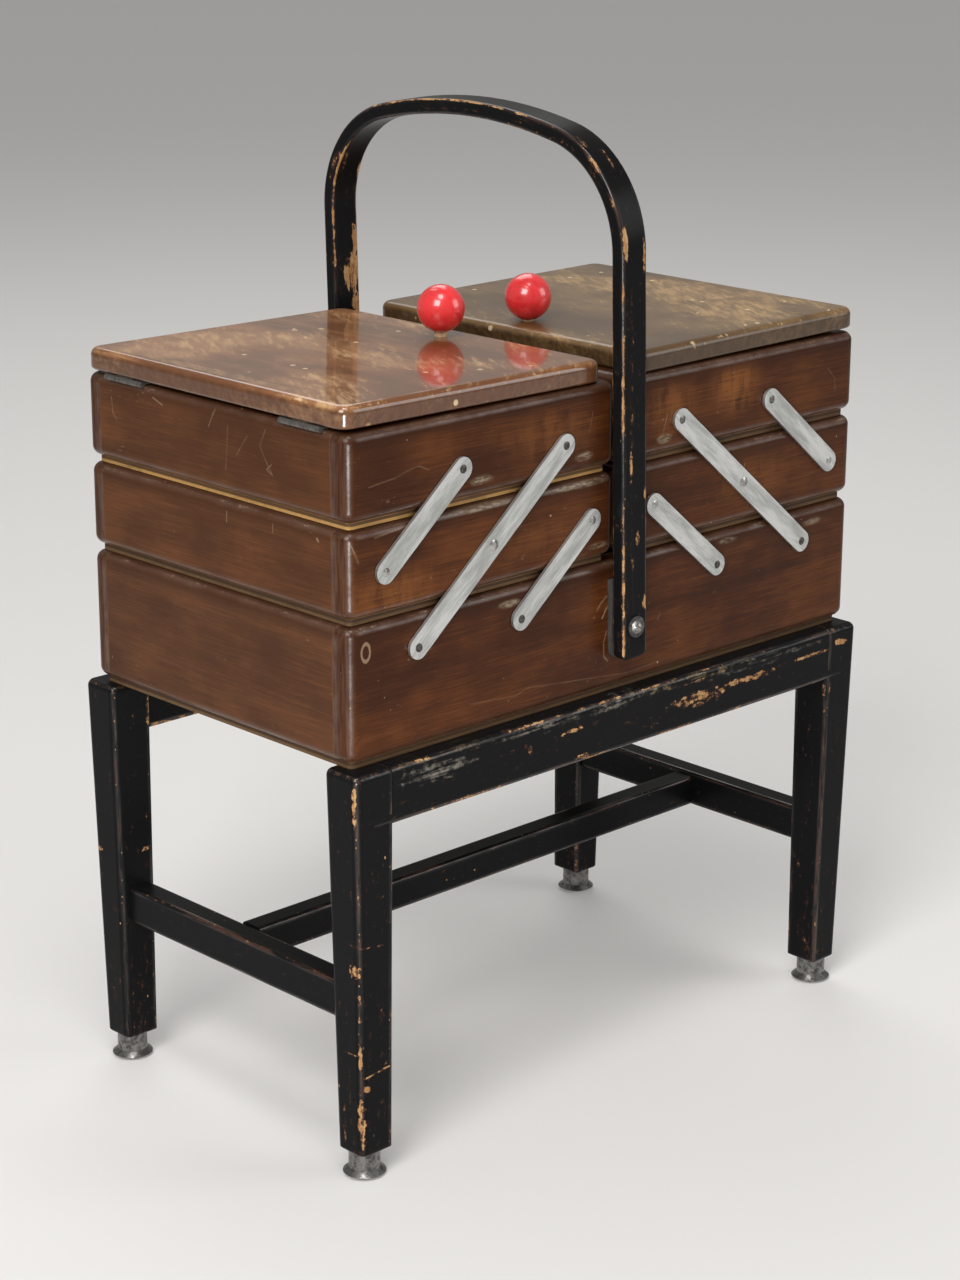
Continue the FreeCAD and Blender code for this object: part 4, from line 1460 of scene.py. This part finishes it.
def trays() -> list[Tray]:
    """The four trays with the marks on each.

    Returns:
        The trays.
    """
    left, right = Side.LEFT, Side.RIGHT
    shiny = WornSteel((0.50, 0.49, 0.47), (0.075, 0.068, 0.062), share=0.54, roughness=0.30)
    brown = Plywood((0.120, 0.066, 0.028), (0.036, 0.018, 0.009))
    upper_left = Wear(
        warm=(Mark(-60.0, 428.0, 60.0, 24.0, 0.45),), gloom=(Mark(-196.0, 436.0, 40.0, 26.0, 0.8),),
        glue=(Mark(-119.0, 410.3, 11.0, 3.4, 0.85), Mark(-33.0, 410.0, 9.0, 3.6, 0.7)),
        scratches=(
            Stroke(((-204.5, 420.5), (-184.6, 422.6), (-173.6, 425.6), (-166.3, 426.4), (-158.9, 423.1)),
                   0.6, 0.35),
            Stroke(((-26.0, 436.0), (-29.0, 424.0)), 0.6, 0.3)))
    upper_end = Wear(scratches=(
        Stroke(((-49.9, 444.1), (-44.7, 434.1), (-48.4, 427.7), (-55.5, 418.5)), 0.7, 0.35),
        Stroke(((-54.6, 424.6), (-50.3, 421.1), (-55.5, 418.5)), 0.7, 0.5),
        Stroke(((93.1, 440.0), (92.4, 431.3), (89.0, 427.4)), 0.7, 0.5),
        Stroke(((-33.7, 437.8), (-23.5, 424.8)), 0.6, 0.4),
        Stroke(((-16.5, 440.6), (-13.6, 414.5)), 0.6, 0.35),
        Stroke(((-4.7, 448.0), (1.2, 437.6)), 0.9, 0.5),
        Stroke(((52.8, 446.0), (44.0, 443.0)), 0.9, 0.6)))
    upper_right = Wear(
        warm=(Mark(102.0, 434.0, 30.0, 26.0, 1.0), Mark(42.0, 428.0, 34.0, 24.0, 0.7)),
        glue=(Mark(37.0, 409.5, 8.0, 3.6, 0.7),),
        scratches=(Stroke(((192.0, 431.0), (199.0, 424.0), (200.0, 416.0)), 0.6, 0.3),
                   Stroke(((34.6, 410.1), (39.6, 424.5)), 0.7, 0.45)))
    middle_left = Wear(
        warm=(Mark(-186.0, 356.0, 50.0, 24.0, 0.65), Mark(-70.0, 366.0, 70.0, 18.0, 0.25)),
        glue=(Mark(-20.0, 353.0, 12.0, 2.6, 0.5), Mark(-120.0, 393.5, 40.0, 2.4, 0.55),
              Mark(-40.0, 393.0, 34.0, 2.6, 0.6)),
        scratches=(Stroke(((-217.5, 391.5), (-212.4, 378.8)), 0.9, 0.5),
                   Stroke(((-200.0, 391.0), (-168.0, 394.0)), 0.8, 0.4)))
    middle_end = Wear(scratches=(
        Stroke(((-13.6, 390.1), (-13.3, 383.6)), 0.7, 0.6),
        Stroke(((-54.7, 390.1), (-54.6, 385.1)), 0.6, 0.5),
        Stroke(((-93.0, 389.0), (-93.8, 388.0)), 1.4, 0.8)))
    middle_right = Wear(warm=(Mark(120.0, 370.0, 50.0, 22.0, 0.45),))
    return [Tray(left, "upper", upper_left, upper_end),
            Tray(right, "upper", upper_right, ply=brown),
            Tray(left, "middle", middle_left, middle_end, ply=brown, pins=shiny),
            Tray(right, "middle", middle_right, ply=brown, pins=shiny)]


def lids() -> list[Lid]:
    """The two lids with their rubbed patches.

    Returns:
        The lids.
    """
    gloss = LidWood()
    matt = LidWood(dark=(0.090, 0.046, 0.018), mid=(0.165, 0.092, 0.036), light=(0.240, 0.142, 0.056),
                   gold=(0.440, 0.280, 0.130), gloss=0.36, coat=0.45, coat_gloss=0.16, gold_share=0.66)
    left = Lid(Side.LEFT, gloss,
               (Mark(-150.0, 78.0, 40.0, 34.0, 0.6), Mark(-200.0, 70.0, 16.0, 34.0, 0.6),
                Mark(-110.0, 20.0, 26.0, 40.0, 0.35), Mark(-211.0, 0.0, 6.0, 100.0, 0.5)),
               (Mark(-130.0, -128.0, 180.0, 80.0, 1.0), Mark(-60.0, -60.0, 60.0, 70.0, 0.8)))
    right = Lid(Side.RIGHT, matt,
                (Mark(172.0, 10.0, 42.0, 80.0, 1.0, 0.8), Mark(156.0, -66.0, 42.0, 52.0, 1.0, 0.8),
                 Mark(152.0, 84.0, 14.0, 26.0, 0.9), Mark(204.0, -70.0, 10.0, 44.0, 0.8)),
                (Mark(50.0, 0.0, 50.0, 150.0, 0.8), Mark(90.0, -128.0, 110.0, 40.0, 0.9)))
    return [left, right]


def main() -> None:
    """Dresses every sub-assembly and sets the studio."""
    logging.basicConfig(level=logging.INFO, format="%(message)s")
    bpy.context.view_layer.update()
    bars = [LinkBars(side) for side in Side]
    pieces = [Stand(), Case(), *trays(), *lids(), *bars, Handle(), HingeScrews()]
    for piece in pieces:
        piece.dress()
    Studio().build()


if __name__ == "__main__":
    main()
